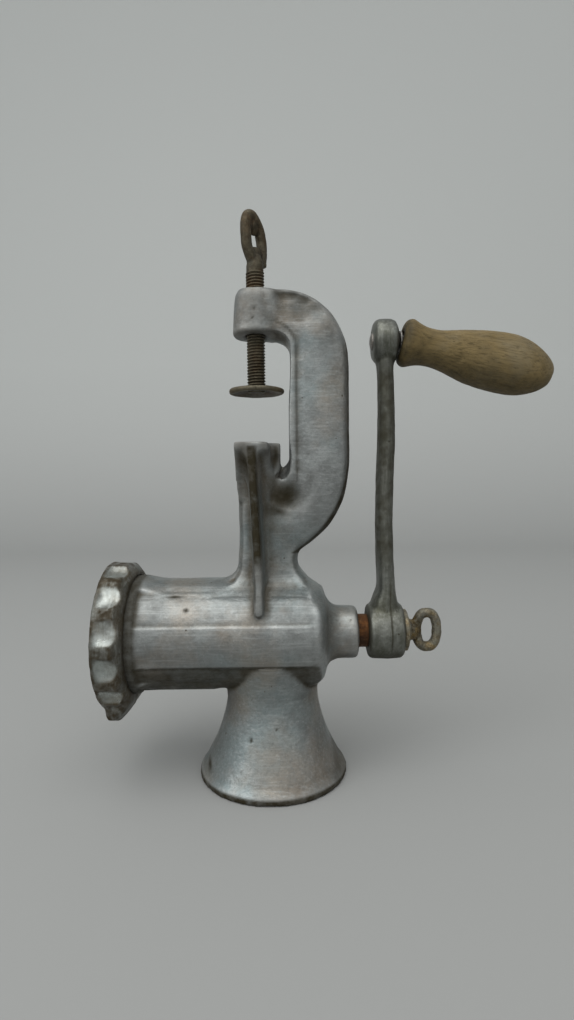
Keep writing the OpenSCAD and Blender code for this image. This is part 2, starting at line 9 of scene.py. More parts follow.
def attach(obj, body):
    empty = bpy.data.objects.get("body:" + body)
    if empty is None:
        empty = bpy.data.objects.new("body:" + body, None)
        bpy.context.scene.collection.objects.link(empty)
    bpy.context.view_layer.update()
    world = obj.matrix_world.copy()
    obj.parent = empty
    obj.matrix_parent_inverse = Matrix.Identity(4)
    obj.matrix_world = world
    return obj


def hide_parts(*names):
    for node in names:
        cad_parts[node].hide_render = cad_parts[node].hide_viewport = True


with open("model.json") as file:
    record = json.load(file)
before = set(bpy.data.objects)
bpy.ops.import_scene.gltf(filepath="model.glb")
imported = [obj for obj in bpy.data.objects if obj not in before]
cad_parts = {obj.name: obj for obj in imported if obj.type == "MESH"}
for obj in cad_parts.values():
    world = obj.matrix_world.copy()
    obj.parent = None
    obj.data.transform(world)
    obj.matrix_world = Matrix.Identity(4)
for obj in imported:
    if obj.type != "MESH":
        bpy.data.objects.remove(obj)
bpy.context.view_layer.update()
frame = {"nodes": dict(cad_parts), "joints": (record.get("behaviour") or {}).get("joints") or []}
mm = 0.001
print("frame loaded:", len(frame["nodes"]), "nodes")


# Camera: fitted to the photo's picture of the same object
cameraSetup = {
    "place": (8.65 * mm, -288.7 * mm, 151.1 * mm),
    "lookDown": 3.07,       # degrees
    "roll": 0.7,            # degrees, level lines climb to the right
    "focalPixels": 560.0,
    "frameHeight": 1020.0,
}


def makeCamera(setup):
    data = bpy.data.cameras.new("photoCamera")
    camera = bpy.data.objects.new("photoCamera", data)
    bpy.context.scene.collection.objects.link(camera)
    data.sensor_width = 36.0
    data.lens = setup["focalPixels"] / setup["frameHeight"] * data.sensor_width
    data.clip_start, data.clip_end = 0.01, 50.0
    tilt = Matrix.Rotation(math.radians(90 - setup["lookDown"]), 3, "X")
    roll = Matrix.Rotation(math.radians(-setup["roll"]), 3, "Z")
    camera.rotation_euler = (tilt @ roll).to_euler()
    camera.location = setup["place"]
    bpy.context.scene.camera = camera


makeCamera(cameraSetup)


# Floor and light
studio = {
    "floorColour": (0.34, 0.345, 0.34),
    "wallColour": (0.575, 0.59, 0.58),
    "lightSide": (-0.25, -0.62, 0.74),      # the sky is brightest this way
    "skyBright": (0.87, 0.885, 0.88),
    "skyDim": (0.25, 0.25, 0.245),
    "skyFade": (-0.35, 0.95),
    "lamps": (
        # name, place in m, size in m, watts, colour
        ("topLamp", (-0.15, -0.4, 1.1), 1.1, 5.2, (1.0, 0.99, 0.97)),
        ("leftLamp", (-1.2, -0.7, 0.8), 0.7, 3.0, (0.96, 0.98, 1.0)),
    ),
}


def makeStudio(setup):
    scene = bpy.context.scene
    scene.view_settings.view_transform = "Standard"
    scene.world = makeSky(setup)
    for name, place, size, watts, colour in setup["lamps"]:
        data = bpy.data.lights.new(name, "AREA")
        data.size = size
        data.energy = watts
        data.color = colour
        lamp = bpy.data.objects.new(name, data)
        scene.collection.objects.link(lamp)
        lamp.location = place
        aim = Vector((0, 0, 0.12)) - Vector(place)
        lamp.rotation_euler = aim.to_track_quat("-Z", "Y").to_euler()
    mesh = bpy.data.meshes.new("studioFloor")
    reach, back, rise, curve = 4.5, 1.4, 3.0, 0.5
    outline = [(-3.5, 0.0), (back - curve, 0.0)]
    for angle in np.linspace(0, math.pi / 2, 13)[1:]:
        outline.append((back - curve + curve * math.sin(angle), curve - curve * math.cos(angle)))
    outline.append((back, rise))
    points = [(x, y, z) for y, z in outline for x in (-reach, reach)]
    faces = [(2 * i, 2 * i + 1, 2 * i + 3, 2 * i + 2) for i in range(len(outline) - 1)]
    mesh.from_pydata(points, [], faces)
    mesh.polygons.foreach_set("use_smooth", [True] * len(faces))
    floor = bpy.data.objects.new("studioFloor", mesh)
    scene.collection.objects.link(floor)
    mesh.materials.append(makePaper(setup))


def makeSky(setup):
    world = bpy.data.worlds.new("studioSky")
    world.use_nodes = True
    nodes, links = world.node_tree.nodes, world.node_tree.links
    facing = nodes.new("ShaderNodeVectorMath")
    facing.operation = "DOT_PRODUCT"
    facing.inputs[1].default_value = Vector(setup["lightSide"]).normalized()
    links.new(nodes.new("ShaderNodeTexCoord").outputs["Generated"], facing.inputs[0])
    share = nodes.new("ShaderNodeMapRange")
    share.interpolation_type = "SMOOTHSTEP"
    share.inputs["From Min"].default_value, share.inputs["From Max"].default_value = setup["skyFade"]
    links.new(facing.outputs["Value"], share.inputs["Value"])
    mix = nodes.new("ShaderNodeMix")
    mix.data_type = "RGBA"
    mix.inputs[6].default_value = (*setup["skyDim"], 1)
    mix.inputs[7].default_value = (*setup["skyBright"], 1)
    links.new(share.outputs["Result"], mix.inputs[0])
    links.new(mix.outputs[2], nodes["Background"].inputs["Color"])
    return world


def makePaper(setup):       # one sheet, paler where it rises behind the object
    material = bpy.data.materials.new("studioPaper")
    material.use_nodes = True
    nodes, links = material.node_tree.nodes, material.node_tree.links
    place = nodes.new("ShaderNodeSeparateXYZ")
    links.new(nodes.new("ShaderNodeTexCoord").outputs["Object"], place.inputs["Vector"])
    height = nodes.new("ShaderNodeMapRange")
    height.inputs["From Max"].default_value = 0.5
    links.new(place.outputs["Z"], height.inputs["Value"])
    mix = nodes.new("ShaderNodeMix")
    mix.data_type = "RGBA"
    mix.inputs[6].default_value = (*setup["floorColour"], 1)
    mix.inputs[7].default_value = (*setup["wallColour"], 1)
    links.new(height.outputs["Result"], mix.inputs[0])
    shader = nodes["Principled BSDF"]
    links.new(mix.outputs[2], shader.inputs["Base Color"])
    shader.inputs["Roughness"].default_value = 0.8
    return material


makeStudio(studio)
print("camera and studio made")


# Mesh tools
def getPoints(mesh):
    points = np.empty(len(mesh.vertices) * 3, np.float32)
    mesh.vertices.foreach_get("co", points)
    return points.reshape(-1, 3).astype(float)


def setPoints(mesh, points):
    mesh.vertices.foreach_set("co", points.astype(np.float32).ravel())
    mesh.update()


def getNormals(mesh):
    normals = np.empty(len(mesh.vertices) * 3, np.float32)
    mesh.vertex_normals.foreach_get("vector", normals)
    return normals.reshape(-1, 3).astype(float)


def getPairs(mesh):
    pairs = np.empty(len(mesh.edges) * 2, np.int32)
    mesh.edges.foreach_get("vertices", pairs)
    return pairs.reshape(-1, 2)


def relax(points, pairs, rounds, share=0.7):
    a, b = pairs.T
    count = len(points)
    degree = np.bincount(a, minlength=count) + np.bincount(b, minlength=count)
    for _ in range(rounds):
        total = np.empty_like(points)
        for k in range(points.shape[1]):
            total[:, k] = np.bincount(a, points[b, k], count) + np.bincount(b, points[a, k], count)
        points = points + share * (total / np.maximum(degree, 1)[:, None] - points)
    return points


def smoothStep(values, low, high):
    t = np.clip((values - low) / (high - low), 0, 1)
    return t * t * (3 - 2 * t)


def lumps(points, size, octaves=2):
    return np.array([noise.fractal(Vector(p), 1.0, 2.0, octaves) for p in points / size])


def finishPiece(piece, body, slot, *nodes):
    bpy.context.scene.collection.objects.link(piece)
    piece.data.materials.clear()
    piece.data.materials.append(finishes[slot])
    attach(piece, body)
    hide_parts(*nodes)
    return piece


def addPiece(name, mesh, body, slot, *nodes):
    return finishPiece(bpy.data.objects.new(name, mesh), body, slot, *nodes)


def meltMesh(name, meshes, voxel):      # one closed skin round the given meshes
    joined = bmesh.new()
    for mesh in meshes:
        joined.from_mesh(mesh)
    whole = bpy.data.meshes.new(name + "Source")
    joined.to_mesh(whole)
    joined.free()
    holder = bpy.data.objects.new(name + "Source", whole)
    bpy.context.scene.collection.objects.link(holder)
    remesh = holder.modifiers.new("remesh", "REMESH")
    remesh.mode = "VOXEL"
    remesh.voxel_size = voxel
    graph = bpy.context.evaluated_depsgraph_get()
    skin = bpy.data.meshes.new_from_object(holder.evaluated_get(graph))
    bpy.data.objects.remove(holder)
    bpy.data.meshes.remove(whole)
    skin.name = name
    skin.materials.clear()
    skin.polygons.foreach_set("use_smooth", [True] * len(skin.polygons))
    return skin


def setMask(mesh, name, values):
    layer = mesh.attributes.get(name) or mesh.attributes.new(name, "FLOAT", "POINT")
    layer.data.foreach_set("value", np.clip(values, 0, 1).astype(np.float32))


def addMask(mesh, name, values):
    layer = mesh.attributes[name]
    before = np.empty(len(mesh.vertices), np.float32)
    layer.data.foreach_get("value", before)
    setMask(mesh, name, np.maximum(before, values))


def castSkin(mesh, size, filletWhere=None, keepWhere=None):
    # concave corners fill up like a foundry's fillets, convex ones wear round, and the skin gets its unevenness
    pairs = getPairs(mesh)
    start = relax(getPoints(mesh), pairs, 2)
    setPoints(mesh, start)
    normals = getNormals(mesh)
    filled = ((relax(start, pairs, size["fillet"]) - start) * normals).sum(1)
    worn = ((relax(start, pairs, size["rounding"]) - start) * normals).sum(1)
    where = np.ones(len(start)) if filletWhere is None else filletWhere(start)
    keep = np.zeros(len(start)) if keepWhere is None else keepWhere(start)
    grow = np.where(filled > 0, filled * where, 0)
    move = np.where(grow > np.abs(worn), grow, worn) * (1 - keep)
    move = relax(move[:, None], pairs, 3)[:, 0]
    move += lumps(start, size["lumpSize"]) * size["lumpDepth"] * (1 - keep)
    done = start + normals * move[:, None]
    setPoints(mesh, done)
    markWear(mesh, 10, 0.25 * mm)


def markWear(mesh, rounds, depth):      # "hollow" and "ridge" masks from the skin's own curvature
    pairs = getPairs(mesh)
    points = getPoints(mesh)
    bend = ((relax(points, pairs, rounds) - points) * getNormals(mesh)).sum(1)
    bend = relax(bend[:, None], pairs, 2)[:, 0]
    setMask(mesh, "hollow", bend / depth)
    setMask(mesh, "ridge", -bend / depth)


def shadeSmooth(mesh):
    mesh.polygons.foreach_set("use_smooth", [True] * len(mesh.polygons))


def skinMesh(name, rings, loop=False):      # closed rings of points joined into one skin, its ends capped
    count, sides = rings.shape[:2]
    at = np.arange(sides)
    rows = range(count if loop else count - 1)
    faces = []
    for i in rows:
        here, there = i * sides, (i + 1) % count * sides
        faces += [(here + j, here + k, there + k, there + j) for j, k in zip(at, np.roll(at, -1))]
    if not loop:
        faces += [tuple(at[::-1]), tuple((count - 1) * sides + at)]
    mesh = bpy.data.meshes.new(name)
    mesh.from_pydata(rings.reshape(-1, 3).tolist(), [], [[int(v) for v in face] for face in faces])
    tidy = bmesh.new()
    tidy.from_mesh(mesh)
    bmesh.ops.recalc_face_normals(tidy, faces=tidy.faces)
    tidy.to_mesh(mesh)
    tidy.free()
    shadeSmooth(mesh)
    return mesh


def latheRings(outline, sides):     # (place along X, radius) points, in millimetres
    turn = np.linspace(0, 2 * math.pi, sides, endpoint=False)
    along, radius = np.array(outline, float).T
    shape = np.ones((len(along), sides))
    return mm * np.stack([along[:, None] * shape, radius[:, None] * np.cos(turn), radius[:, None] * np.sin(turn)], 2)


def denser(outline, step):      # more points along the same outline
    done = [outline[0]]
    for a, b in zip(outline, outline[1:]):
        parts = max(1, int(round(math.dist(a, b) / step)))
        done += [tuple(np.array(a) + (np.array(b) - np.array(a)) * i / parts) for i in range(1, parts + 1)]
    return done


def softPath(points, rounds=3):     # cuts the corners of an open path
    path = np.array(points, float)
    for _ in range(rounds):
        first, second = path[:-1], path[1:]
        cut = np.stack([0.75 * first + 0.25 * second, 0.25 * first + 0.75 * second], 1).reshape(-1, path.shape[1])
        path = np.vstack([path[:1], cut[1:-1], path[-1:]])
    return path


def tubeRings(path, radius, sides):      # path columns are x, y, z; radius one value or one for each point
    tangents = np.gradient(path, axis=0)
    tangents /= np.linalg.norm(tangents, axis=1)[:, None]
    radius = np.broadcast_to(radius, len(path))
    turn = np.linspace(0, 2 * math.pi, sides, endpoint=False)
    side = np.cross(tangents[0], (0.3, 1, 0.2))
    rings = []
    for place, along, r in zip(path, tangents, radius):
        side = side - along * side.dot(along)
        side /= np.linalg.norm(side)
        up = np.cross(along, side)
        rings.append(place + r * (np.cos(turn)[:, None] * side + np.sin(turn)[:, None] * up))
    return np.array(rings)


def threadRings(radius, depth, pitch, length, sides=56, step=0.15):     # right-hand thread along X, in millimetres
    along = np.arange(0, length + step / 2, step)
    turn = np.linspace(0, 2 * math.pi, sides, endpoint=False)
    phase = (along[:, None] / pitch - turn / (2 * math.pi)) % 1
    crest = smoothStep(np.abs(2 * phase - 1), 0.12, 0.88)
    chamfer = depth * smoothStep(np.minimum(along, length - along), 1.2, 0)[:, None]
    reach = radius - depth * (1 - crest) - chamfer * crest
    return mm * np.stack([along[:, None] * np.ones(sides), reach * np.cos(turn), reach * np.sin(turn)], 2)


def placed(mesh, matrix):
    mesh.transform(matrix)
    return mesh


def joinMeshes(name, meshes):
    joined = bmesh.new()
    for mesh in meshes:
        joined.from_mesh(mesh)
    whole = bpy.data.meshes.new(name)
    joined.to_mesh(whole)
    joined.free()
    for mesh in meshes:
        bpy.data.meshes.remove(mesh)
    shadeSmooth(whole)
    return whole


def roughen(mesh, size, depth, rounds=0):       # dents and unevenness on a piece that keeps its form
    points = getPoints(mesh)
    if rounds:
        points = relax(points, getPairs(mesh), rounds)
        setPoints(mesh, points)
    setPoints(mesh, points + getNormals(mesh) * (lumps(points, size) * depth)[:, None])
    markWear(mesh, 6, 0.12 * mm)


# Where the pieces sit, from the frame's own joints
joints = {joint["name"]: joint for joint in frame["joints"]}
barrelLine = Matrix.Translation((0, 0, joints["crank_turn"]["pos_m"][2]))
gripLine = Matrix.Translation(joints["grip_spin"]["pos_m"]) @ Vector(
    joints["grip_spin"]["axis"]).to_track_quat("X", "Z").to_matrix().to_4x4()
clampPlace = Vector(joints["clamp_screw_turn"]["pos_m"])
clampLine = Matrix.Translation((clampPlace.x, 0, 0)) @ Matrix.Rotation(math.radians(-90), 4, "Y")


# Shared effects, as shader node groups
def addNode(tree, kind, inputs=None, **settings):
    node = tree.nodes.new(kind)
    for name, value in settings.items():
        setattr(node, name, value)
    for name, value in (inputs or {}).items():
        if isinstance(value, bpy.types.NodeSocket):
            tree.links.new(value, node.inputs[name])
        else:
            node.inputs[name].default_value = value
    return node


def makeGroup(name, inputs, outputs):
    tree = bpy.data.node_groups.new(name, "ShaderNodeTree")
    for title, kind, value in inputs:
        socket = tree.interface.new_socket(name=title, in_out="INPUT", socket_type="NodeSocket" + kind)
        if value is not None:
            socket.default_value = value
    for title, kind in outputs:
        tree.interface.new_socket(name=title, in_out="OUTPUT", socket_type="NodeSocket" + kind)
    return tree, tree.nodes.new("NodeGroupInput").outputs, tree.nodes.new("NodeGroupOutput").inputs


def maths(tree, operation, a, b=0.0, clamp=False):
    return addNode(tree, "ShaderNodeMath", {0: a, 1: b}, operation=operation, use_clamp=clamp).outputs[0]


def makeTonePatches():      # soft-edged patches of a chosen size
    tree, given, out = makeGroup("tonePatches", [
        ("Vector", "Vector", None), ("Scale", "Float", 50.0), ("Detail", "Float", 4.0), ("Roughness", "Float", 0.6),
        ("Low", "Float", 0.4), ("High", "Float", 0.6), ("Strength", "Float", 1.0)], [("Mask", "Float")])
    cloud = addNode(tree, "ShaderNodeTexNoise", {"Vector": given["Vector"], "Scale": given["Scale"],
                                                 "Detail": given["Detail"], "Roughness": given["Roughness"]})
    span = addNode(tree, "ShaderNodeMapRange", {"Value": cloud.outputs["Fac"], "From Min": given["Low"],
                                                "From Max": given["High"], "To Max": given["Strength"]})
    tree.links.new(span.outputs["Result"], out["Mask"])
    return tree


def makePitMarks():     # scattered small pits, in a share of the cells
    tree, given, out = makeGroup("pitMarks", [
        ("Vector", "Vector", None), ("Scale", "Float", 300.0), ("Share", "Float", 0.2), ("Size", "Float", 0.3)],
        [("Mask", "Float")])
    cells = addNode(tree, "ShaderNodeTexVoronoi", {"Vector": given["Vector"], "Scale": given["Scale"]})
    dice = addNode(tree, "ShaderNodeSeparateColor", {"Color": cells.outputs["Color"]})
    reach = maths(tree, "MULTIPLY", given["Size"], dice.outputs["Green"])
    dot = addNode(tree, "ShaderNodeMapRange", {"Value": cells.outputs["Distance"], "From Min": reach,
                                               "From Max": maths(tree, "MULTIPLY", reach, 0.4)})
    chosen = maths(tree, "LESS_THAN", dice.outputs["Red"], given["Share"])
    tree.links.new(maths(tree, "MULTIPLY", dot.outputs["Result"], chosen), out["Mask"])
    return tree


def makeSkinWear():     # grime that gathers in hollows and bright metal on worn ridges, broken up; the same masks also carry painted shade on the grip's underside and painted highlights on the notch's facet, the crank hub and the ring's scallops
    tree, given, out = makeGroup("skinWear", [
        ("Vector", "Vector", None), ("Scale", "Float", 160.0), ("Grime", "Float", 1.0), ("Shine", "Float", 1.0)],
        [("Grime", "Float"), ("Shine", "Float")])
    cloud = addNode(tree, "ShaderNodeTexNoise", {"Vector": given["Vector"], "Scale": given["Scale"], "Detail": 5.0,
                                                 "Roughness": 0.7})
    for title, layer, low in (("Grime", "hollow", 0.75), ("Shine", "ridge", 1.05)):
        mask = addNode(tree, "ShaderNodeAttribute", attribute_name=layer).outputs["Fac"]
        broken = maths(tree, "SUBTRACT", maths(tree, "MULTIPLY", cloud.outputs["Fac"], 1.6), low)
        spread = maths(tree, "MULTIPLY", mask, maths(tree, "ADD", broken, 0.8), clamp=True)
        tree.links.new(maths(tree, "MULTIPLY", spread, given[title], clamp=True), out[title])
    return tree


def makeFilm():     # the even film of old dirt and painted shade that the vertex mask places, a little uneven
    tree, given, out = makeGroup("dirtFilm", [("Vector", "Vector", None), ("Strength", "Float", 1.0)],
                                 [("Mask", "Float")])
    cloud = addNode(tree, "ShaderNodeTexNoise", {"Vector": given["Vector"], "Scale": 210.0, "Detail": 5.0,
                                                 "Roughness": 0.65})
    mask = addNode(tree, "ShaderNodeAttribute", attribute_name="stain").outputs["Fac"]
    uneven = maths(tree, "ADD", maths(tree, "MULTIPLY", cloud.outputs["Fac"], 0.8), 0.6)
    thick = maths(tree, "MULTIPLY", maths(tree, "MULTIPLY", mask, uneven), given["Strength"], clamp=True)
    tree.links.new(thick, out["Mask"])
    return tree


def makeCastGrain():        # height of a cast or corroded skin: swells, grain and pits
    tree, given, out = makeGroup("castGrain", [
        ("Vector", "Vector", None), ("Swell", "Float", 180.0), ("Dimple", "Float", 480.0),
        ("Grain", "Float", 1400.0), ("Pits", "Float", 1.0)], [("Height", "Float")])
    swell = addNode(tree, "ShaderNodeTexNoise", {"Vector": given["Vector"], "Scale": given["Swell"], "Detail": 3.0})
    grain = addNode(tree, "ShaderNodeTexNoise", {"Vector": given["Vector"], "Scale": given["Grain"], "Detail": 3.0})
    dimple = addNode(tree, "ShaderNodeTexNoise", {"Vector": given["Vector"], "Scale": given["Dimple"], "Detail": 2.0})
    height = maths(tree, "ADD", swell.outputs["Fac"], maths(tree, "MULTIPLY", grain.outputs["Fac"], 0.2))
    height = maths(tree, "ADD", height, maths(tree, "MULTIPLY", dimple.outputs["Fac"], 0.6))
    height = maths(tree, "SUBTRACT", height, maths(tree, "MULTIPLY", given["Pits"], 0.5))
    tree.links.new(height, out["Height"])
    return tree


groups = {"tonePatches": makeTonePatches(), "pitMarks": makePitMarks(), "skinWear": makeSkinWear(),
          "dirtFilm": makeFilm(), "castGrain": makeCastGrain()}


def useGroup(tree, name, inputs):
    node = tree.nodes.new("ShaderNodeGroup")
    node.node_tree = groups[name]
    for title, value in inputs.items():
        if isinstance(value, bpy.types.NodeSocket):
            tree.links.new(value, node.inputs[title])
        else:
            node.inputs[title].default_value = value
    return node.outputs


def mixColours(tree, amount, first, second):
    node = tree.nodes.new("ShaderNodeMix")
    node.data_type = "RGBA"
    for index, value in ((0, amount), (6, first), (7, second)):
        if isinstance(value, bpy.types.NodeSocket):
            tree.links.new(value, node.inputs[index])
        else:
            node.inputs[index].default_value = value if index == 0 else (*value, 1)
    return node.outputs[2]


def startMaterial(name, stretch=(1, 1, 1)):
    material = bpy.data.materials.new(name)
    material.use_nodes = True
    tree = material.node_tree
    place = addNode(tree, "ShaderNodeTexCoord").outputs["Object"]
    if stretch != (1, 1, 1):
        place = addNode(tree, "ShaderNodeMapping", {"Vector": place, "Scale": stretch}).outputs["Vector"]
    return material, tree, place, tree.nodes["Principled BSDF"]


def shifted(tree, place, step):     # the same pattern read somewhere else
    return addNode(tree, "ShaderNodeMapping", {"Vector": place, "Location": (step, step * 0.7, step * 1.3)}).outputs["Vector"]


# Metal finishes: colours are linear, scales are patches to a metre
metalFinishes = {
    "tinned_iron": {
        "base": (0.27, 0.285, 0.28), "dark": (0.15, 0.155, 0.15), "bright": (0.46, 0.475, 0.47),
        "tints": (((0.25, 0.32, 0.33), 22.0, 0.5), ((0.3, 0.24, 0.18), 34.0, 0.5)),
        "stain": (0.026, 0.021, 0.01), "brush": (0.05, 1, 1), "streaks": 0.3,
        "grime": (0.06, 0.044, 0.022), "grimeAmount": 0.7, "shine": 0.6,
        "speck": 0.5, "pits": 0.08, "roughness": (0.36, 0.52), "metallic": 0.9, "bump": 0.5,
    },
    "ring_iron": {
        "base": (0.29, 0.3, 0.285), "dark": (0.1, 0.09, 0.07), "bright": (0.58, 0.62, 0.6),
        "tints": (((0.13, 0.09, 0.04), 60.0, 0.75), ((0.27, 0.31, 0.3), 45.0, 0.5)),
        "stain": (0.034, 0.023, 0.009), "brush": (1, 0.2, 0.2), "streaks": 0.3,
        "grime": (0.035, 0.024, 0.011), "grimeAmount": 0.9, "shine": 1.0,
        "speck": 0.5, "pits": 0.1, "roughness": (0.26, 0.46), "metallic": 0.92, "bump": 0.45,
    },
    "arm_iron": {
        "base": (0.13, 0.135, 0.115), "dark": (0.055, 0.055, 0.042), "bright": (0.36, 0.37, 0.345),
        "tints": (((0.09, 0.09, 0.06), 40.0, 0.6), ((0.22, 0.23, 0.225), 28.0, 0.45)),
        "stain": (0.032, 0.029, 0.017), "brush": (1, 1, 0.08), "streaks": 0.25,
        "grime": (0.03, 0.024, 0.013), "grimeAmount": 1.3, "shine": 0.8,
        "speck": 0.5, "pits": 0.12, "roughness": (0.34, 0.52), "metallic": 0.88, "bump": 0.55,
    },
    "screw_iron": {
        "base": (0.12, 0.05, 0.02), "dark": (0.04, 0.02, 0.01), "bright": (0.26, 0.14, 0.06),
        "tints": (((0.22, 0.085, 0.022), 150.0, 0.7), ((0.05, 0.03, 0.02), 60.0, 0.7)),
        "stain": (0.03, 0.018, 0.01), "brush": (1, 1, 1), "streaks": 0.1,
        "grime": (0.025, 0.013, 0.007), "grimeAmount": 1.0, "shine": 0.3,
        "speck": 0.8, "pits": 0.4, "roughness": (0.6, 0.85), "metallic": 0.35, "bump": 0.7,
    },
    "plate_steel": {
        "base": (0.38, 0.38, 0.375), "dark": (0.24, 0.235, 0.22), "bright": (0.58, 0.58, 0.57),
        "tints": (((0.3, 0.25, 0.19), 60.0, 0.4), ((0.4, 0.42, 0.43), 90.0, 0.4)),
        "stain": (0.1, 0.07, 0.04), "brush": (1, 0.2, 1), "streaks": 0.3,
        "grime": (0.08, 0.05, 0.03), "grimeAmount": 0.8, "shine": 0.5,
        "speck": 0.4, "pits": 0.12, "roughness": (0.25, 0.42), "metallic": 0.95, "bump": 0.2,
    },
    "pin_steel": {
        "base": (0.2, 0.19, 0.175), "dark": (0.1, 0.085, 0.07), "bright": (0.42, 0.41, 0.39),
        "tints": (((0.16, 0.11, 0.07), 120.0, 0.6), ((0.24, 0.24, 0.24), 80.0, 0.5)),
        "stain": (0.05, 0.035, 0.02), "brush": (0.2, 1, 1), "streaks": 0.2,
        "grime": (0.04, 0.03, 0.02), "grimeAmount": 1.0, "shine": 0.6,
        "speck": 0.6, "pits": 0.2, "roughness": (0.35, 0.55), "metallic": 0.85, "bump": 0.4,
    },
    "worn_steel": {
        "base": (0.2, 0.19, 0.15), "dark": (0.05, 0.036, 0.016), "bright": (0.5, 0.47, 0.37),
        "tints": (((0.2, 0.13, 0.04), 260.0, 0.9), ((0.13, 0.135, 0.13), 110.0, 0.7)),
        "stain": (0.05, 0.036, 0.014), "brush": (1, 1, 1), "streaks": 0.2,
        "grime": (0.045, 0.03, 0.012), "grimeAmount": 1.3, "shine": 0.35,
        "speck": 1.0, "pits": 0.35, "roughness": (0.42, 0.68), "metallic": 0.7, "bump": 0.7,
    },
    "rusty_steel": {
        "base": (0.066, 0.054, 0.036), "dark": (0.022, 0.016, 0.009), "bright": (0.2, 0.175, 0.12),
        "tints": (((0.1, 0.048, 0.017), 110.0, 0.6), ((0.085, 0.082, 0.064), 70.0, 0.6)),
        "stain": (0.03, 0.02, 0.01), "brush": (1, 1, 0.3), "streaks": 0.2,
        "grime": (0.018, 0.012, 0.007), "grimeAmount": 1.2, "shine": 0.7,
        "speck": 0.7, "pits": 0.3, "roughness": (0.45, 0.7), "metallic": 0.6, "bump": 0.6,
    },
    "thrust_brass": {
        "base": (0.42, 0.3, 0.13), "dark": (0.2, 0.13, 0.06), "bright": (0.62, 0.48, 0.25),
        "tints": (((0.25, 0.16, 0.07), 90.0, 0.5), ((0.4, 0.33, 0.18), 60.0, 0.4)),
        "stain": (0.07, 0.045, 0.02), "brush": (1, 0.2, 1), "streaks": 0.3,
        "grime": (0.06, 0.04, 0.02), "grimeAmount": 0.9, "shine": 0.5,
        "speck": 0.5, "pits": 0.12, "roughness": (0.3, 0.5), "metallic": 0.95, "bump": 0.25,
    },
}


def makeMetal(name, look):
    material, tree, place, shader = startMaterial(name)
    cloud = useGroup(tree, "tonePatches", {"Vector": place, "Scale": 75.0, "Detail": 6.0, "Low": 0.38, "High": 0.68})
    colour = mixColours(tree, cloud["Mask"], look["base"], look["dark"])
    for step, (tint, scale, strength) in enumerate(look["tints"], 1):
        patch = useGroup(tree, "tonePatches", {"Vector": shifted(tree, place, step * 0.31), "Scale": scale,
                                               "Low": 0.46, "High": 0.66, "Strength": strength})
        colour = mixColours(tree, patch["Mask"], colour, tint)
    for title, step, scale, detail, low, high, strength in (
            ("dark", 0.0, 620.0, 5.0, 0.52, 0.72, 1.0), ("bright", 0.77, 430.0, 4.0, 0.54, 0.72, 0.55),
            ("dark", 1.9, 980.0, 2.0, 0.52, 0.68, 0.7)):
        speck = useGroup(tree, "tonePatches", {
            "Vector": shifted(tree, place, step), "Scale": scale, "Detail": detail, "Roughness": 0.7, "Low": low,
            "High": high, "Strength": look["speck"] * strength})
        colour = mixColours(tree, speck["Mask"], colour, look[title])
    brushed = addNode(tree, "ShaderNodeMapping", {"Vector": place, "Scale": look["brush"]}).outputs["Vector"]
    streaks = useGroup(tree, "tonePatches", {"Vector": brushed, "Scale": 900.0, "Detail": 3.0, "Low": 0.5,
                                             "High": 0.7, "Strength": look["streaks"]})
    colour = mixColours(tree, streaks["Mask"], colour, look["bright"])
    pits = useGroup(tree, "pitMarks", {"Vector": place, "Scale": 300.0, "Share": look["pits"], "Size": 0.26})
    wear = useGroup(tree, "skinWear", {"Vector": place, "Grime": look["grimeAmount"], "Shine": look["shine"]})
    colour = mixColours(tree, wear["Shine"], colour, look["bright"])
    dirt = maths(tree, "MAXIMUM", wear["Grime"], maths(tree, "MULTIPLY", pits["Mask"], 0.8))
    colour = mixColours(tree, dirt, colour, look["grime"])
    film = useGroup(tree, "dirtFilm", {"Vector": place})
    colour = mixColours(tree, film["Mask"], colour, look["stain"])
    dirt = maths(tree, "MAXIMUM", dirt, film["Mask"])
    tree.links.new(colour, shader.inputs["Base Color"])
    low, high = look["roughness"]
    rough = maths(tree, "ADD", low, maths(tree, "MULTIPLY", cloud["Mask"], high - low))
    rough = maths(tree, "ADD", rough, maths(tree, "MULTIPLY", dirt, 0.28), clamp=True)
    tree.links.new(rough, shader.inputs["Roughness"])
    bare = maths(tree, "SUBTRACT", look["metallic"], maths(tree, "MULTIPLY", dirt, look["metallic"] * 0.85), clamp=True)
    tree.links.new(bare, shader.inputs["Metallic"])
    shader.inputs["Specular IOR Level"].default_value = 0.18
    grain = useGroup(tree, "castGrain", {"Vector": place, "Pits": pits["Mask"]})
    bump = addNode(tree, "ShaderNodeBump", {"Height": grain["Height"], "Strength": look["bump"], "Distance": 0.5 * mm})
    tree.links.new(bump.outputs["Normal"], shader.inputs["Normal"])
    return material


woodFinish = {
    "light": (0.23, 0.166, 0.07), "mid": (0.135, 0.094, 0.033), "dark": (0.035, 0.025, 0.008),
    "grey": (0.18, 0.164, 0.118), "grime": (0.026, 0.02, 0.007), "roughness": 0.62, "bump": 0.8,
}


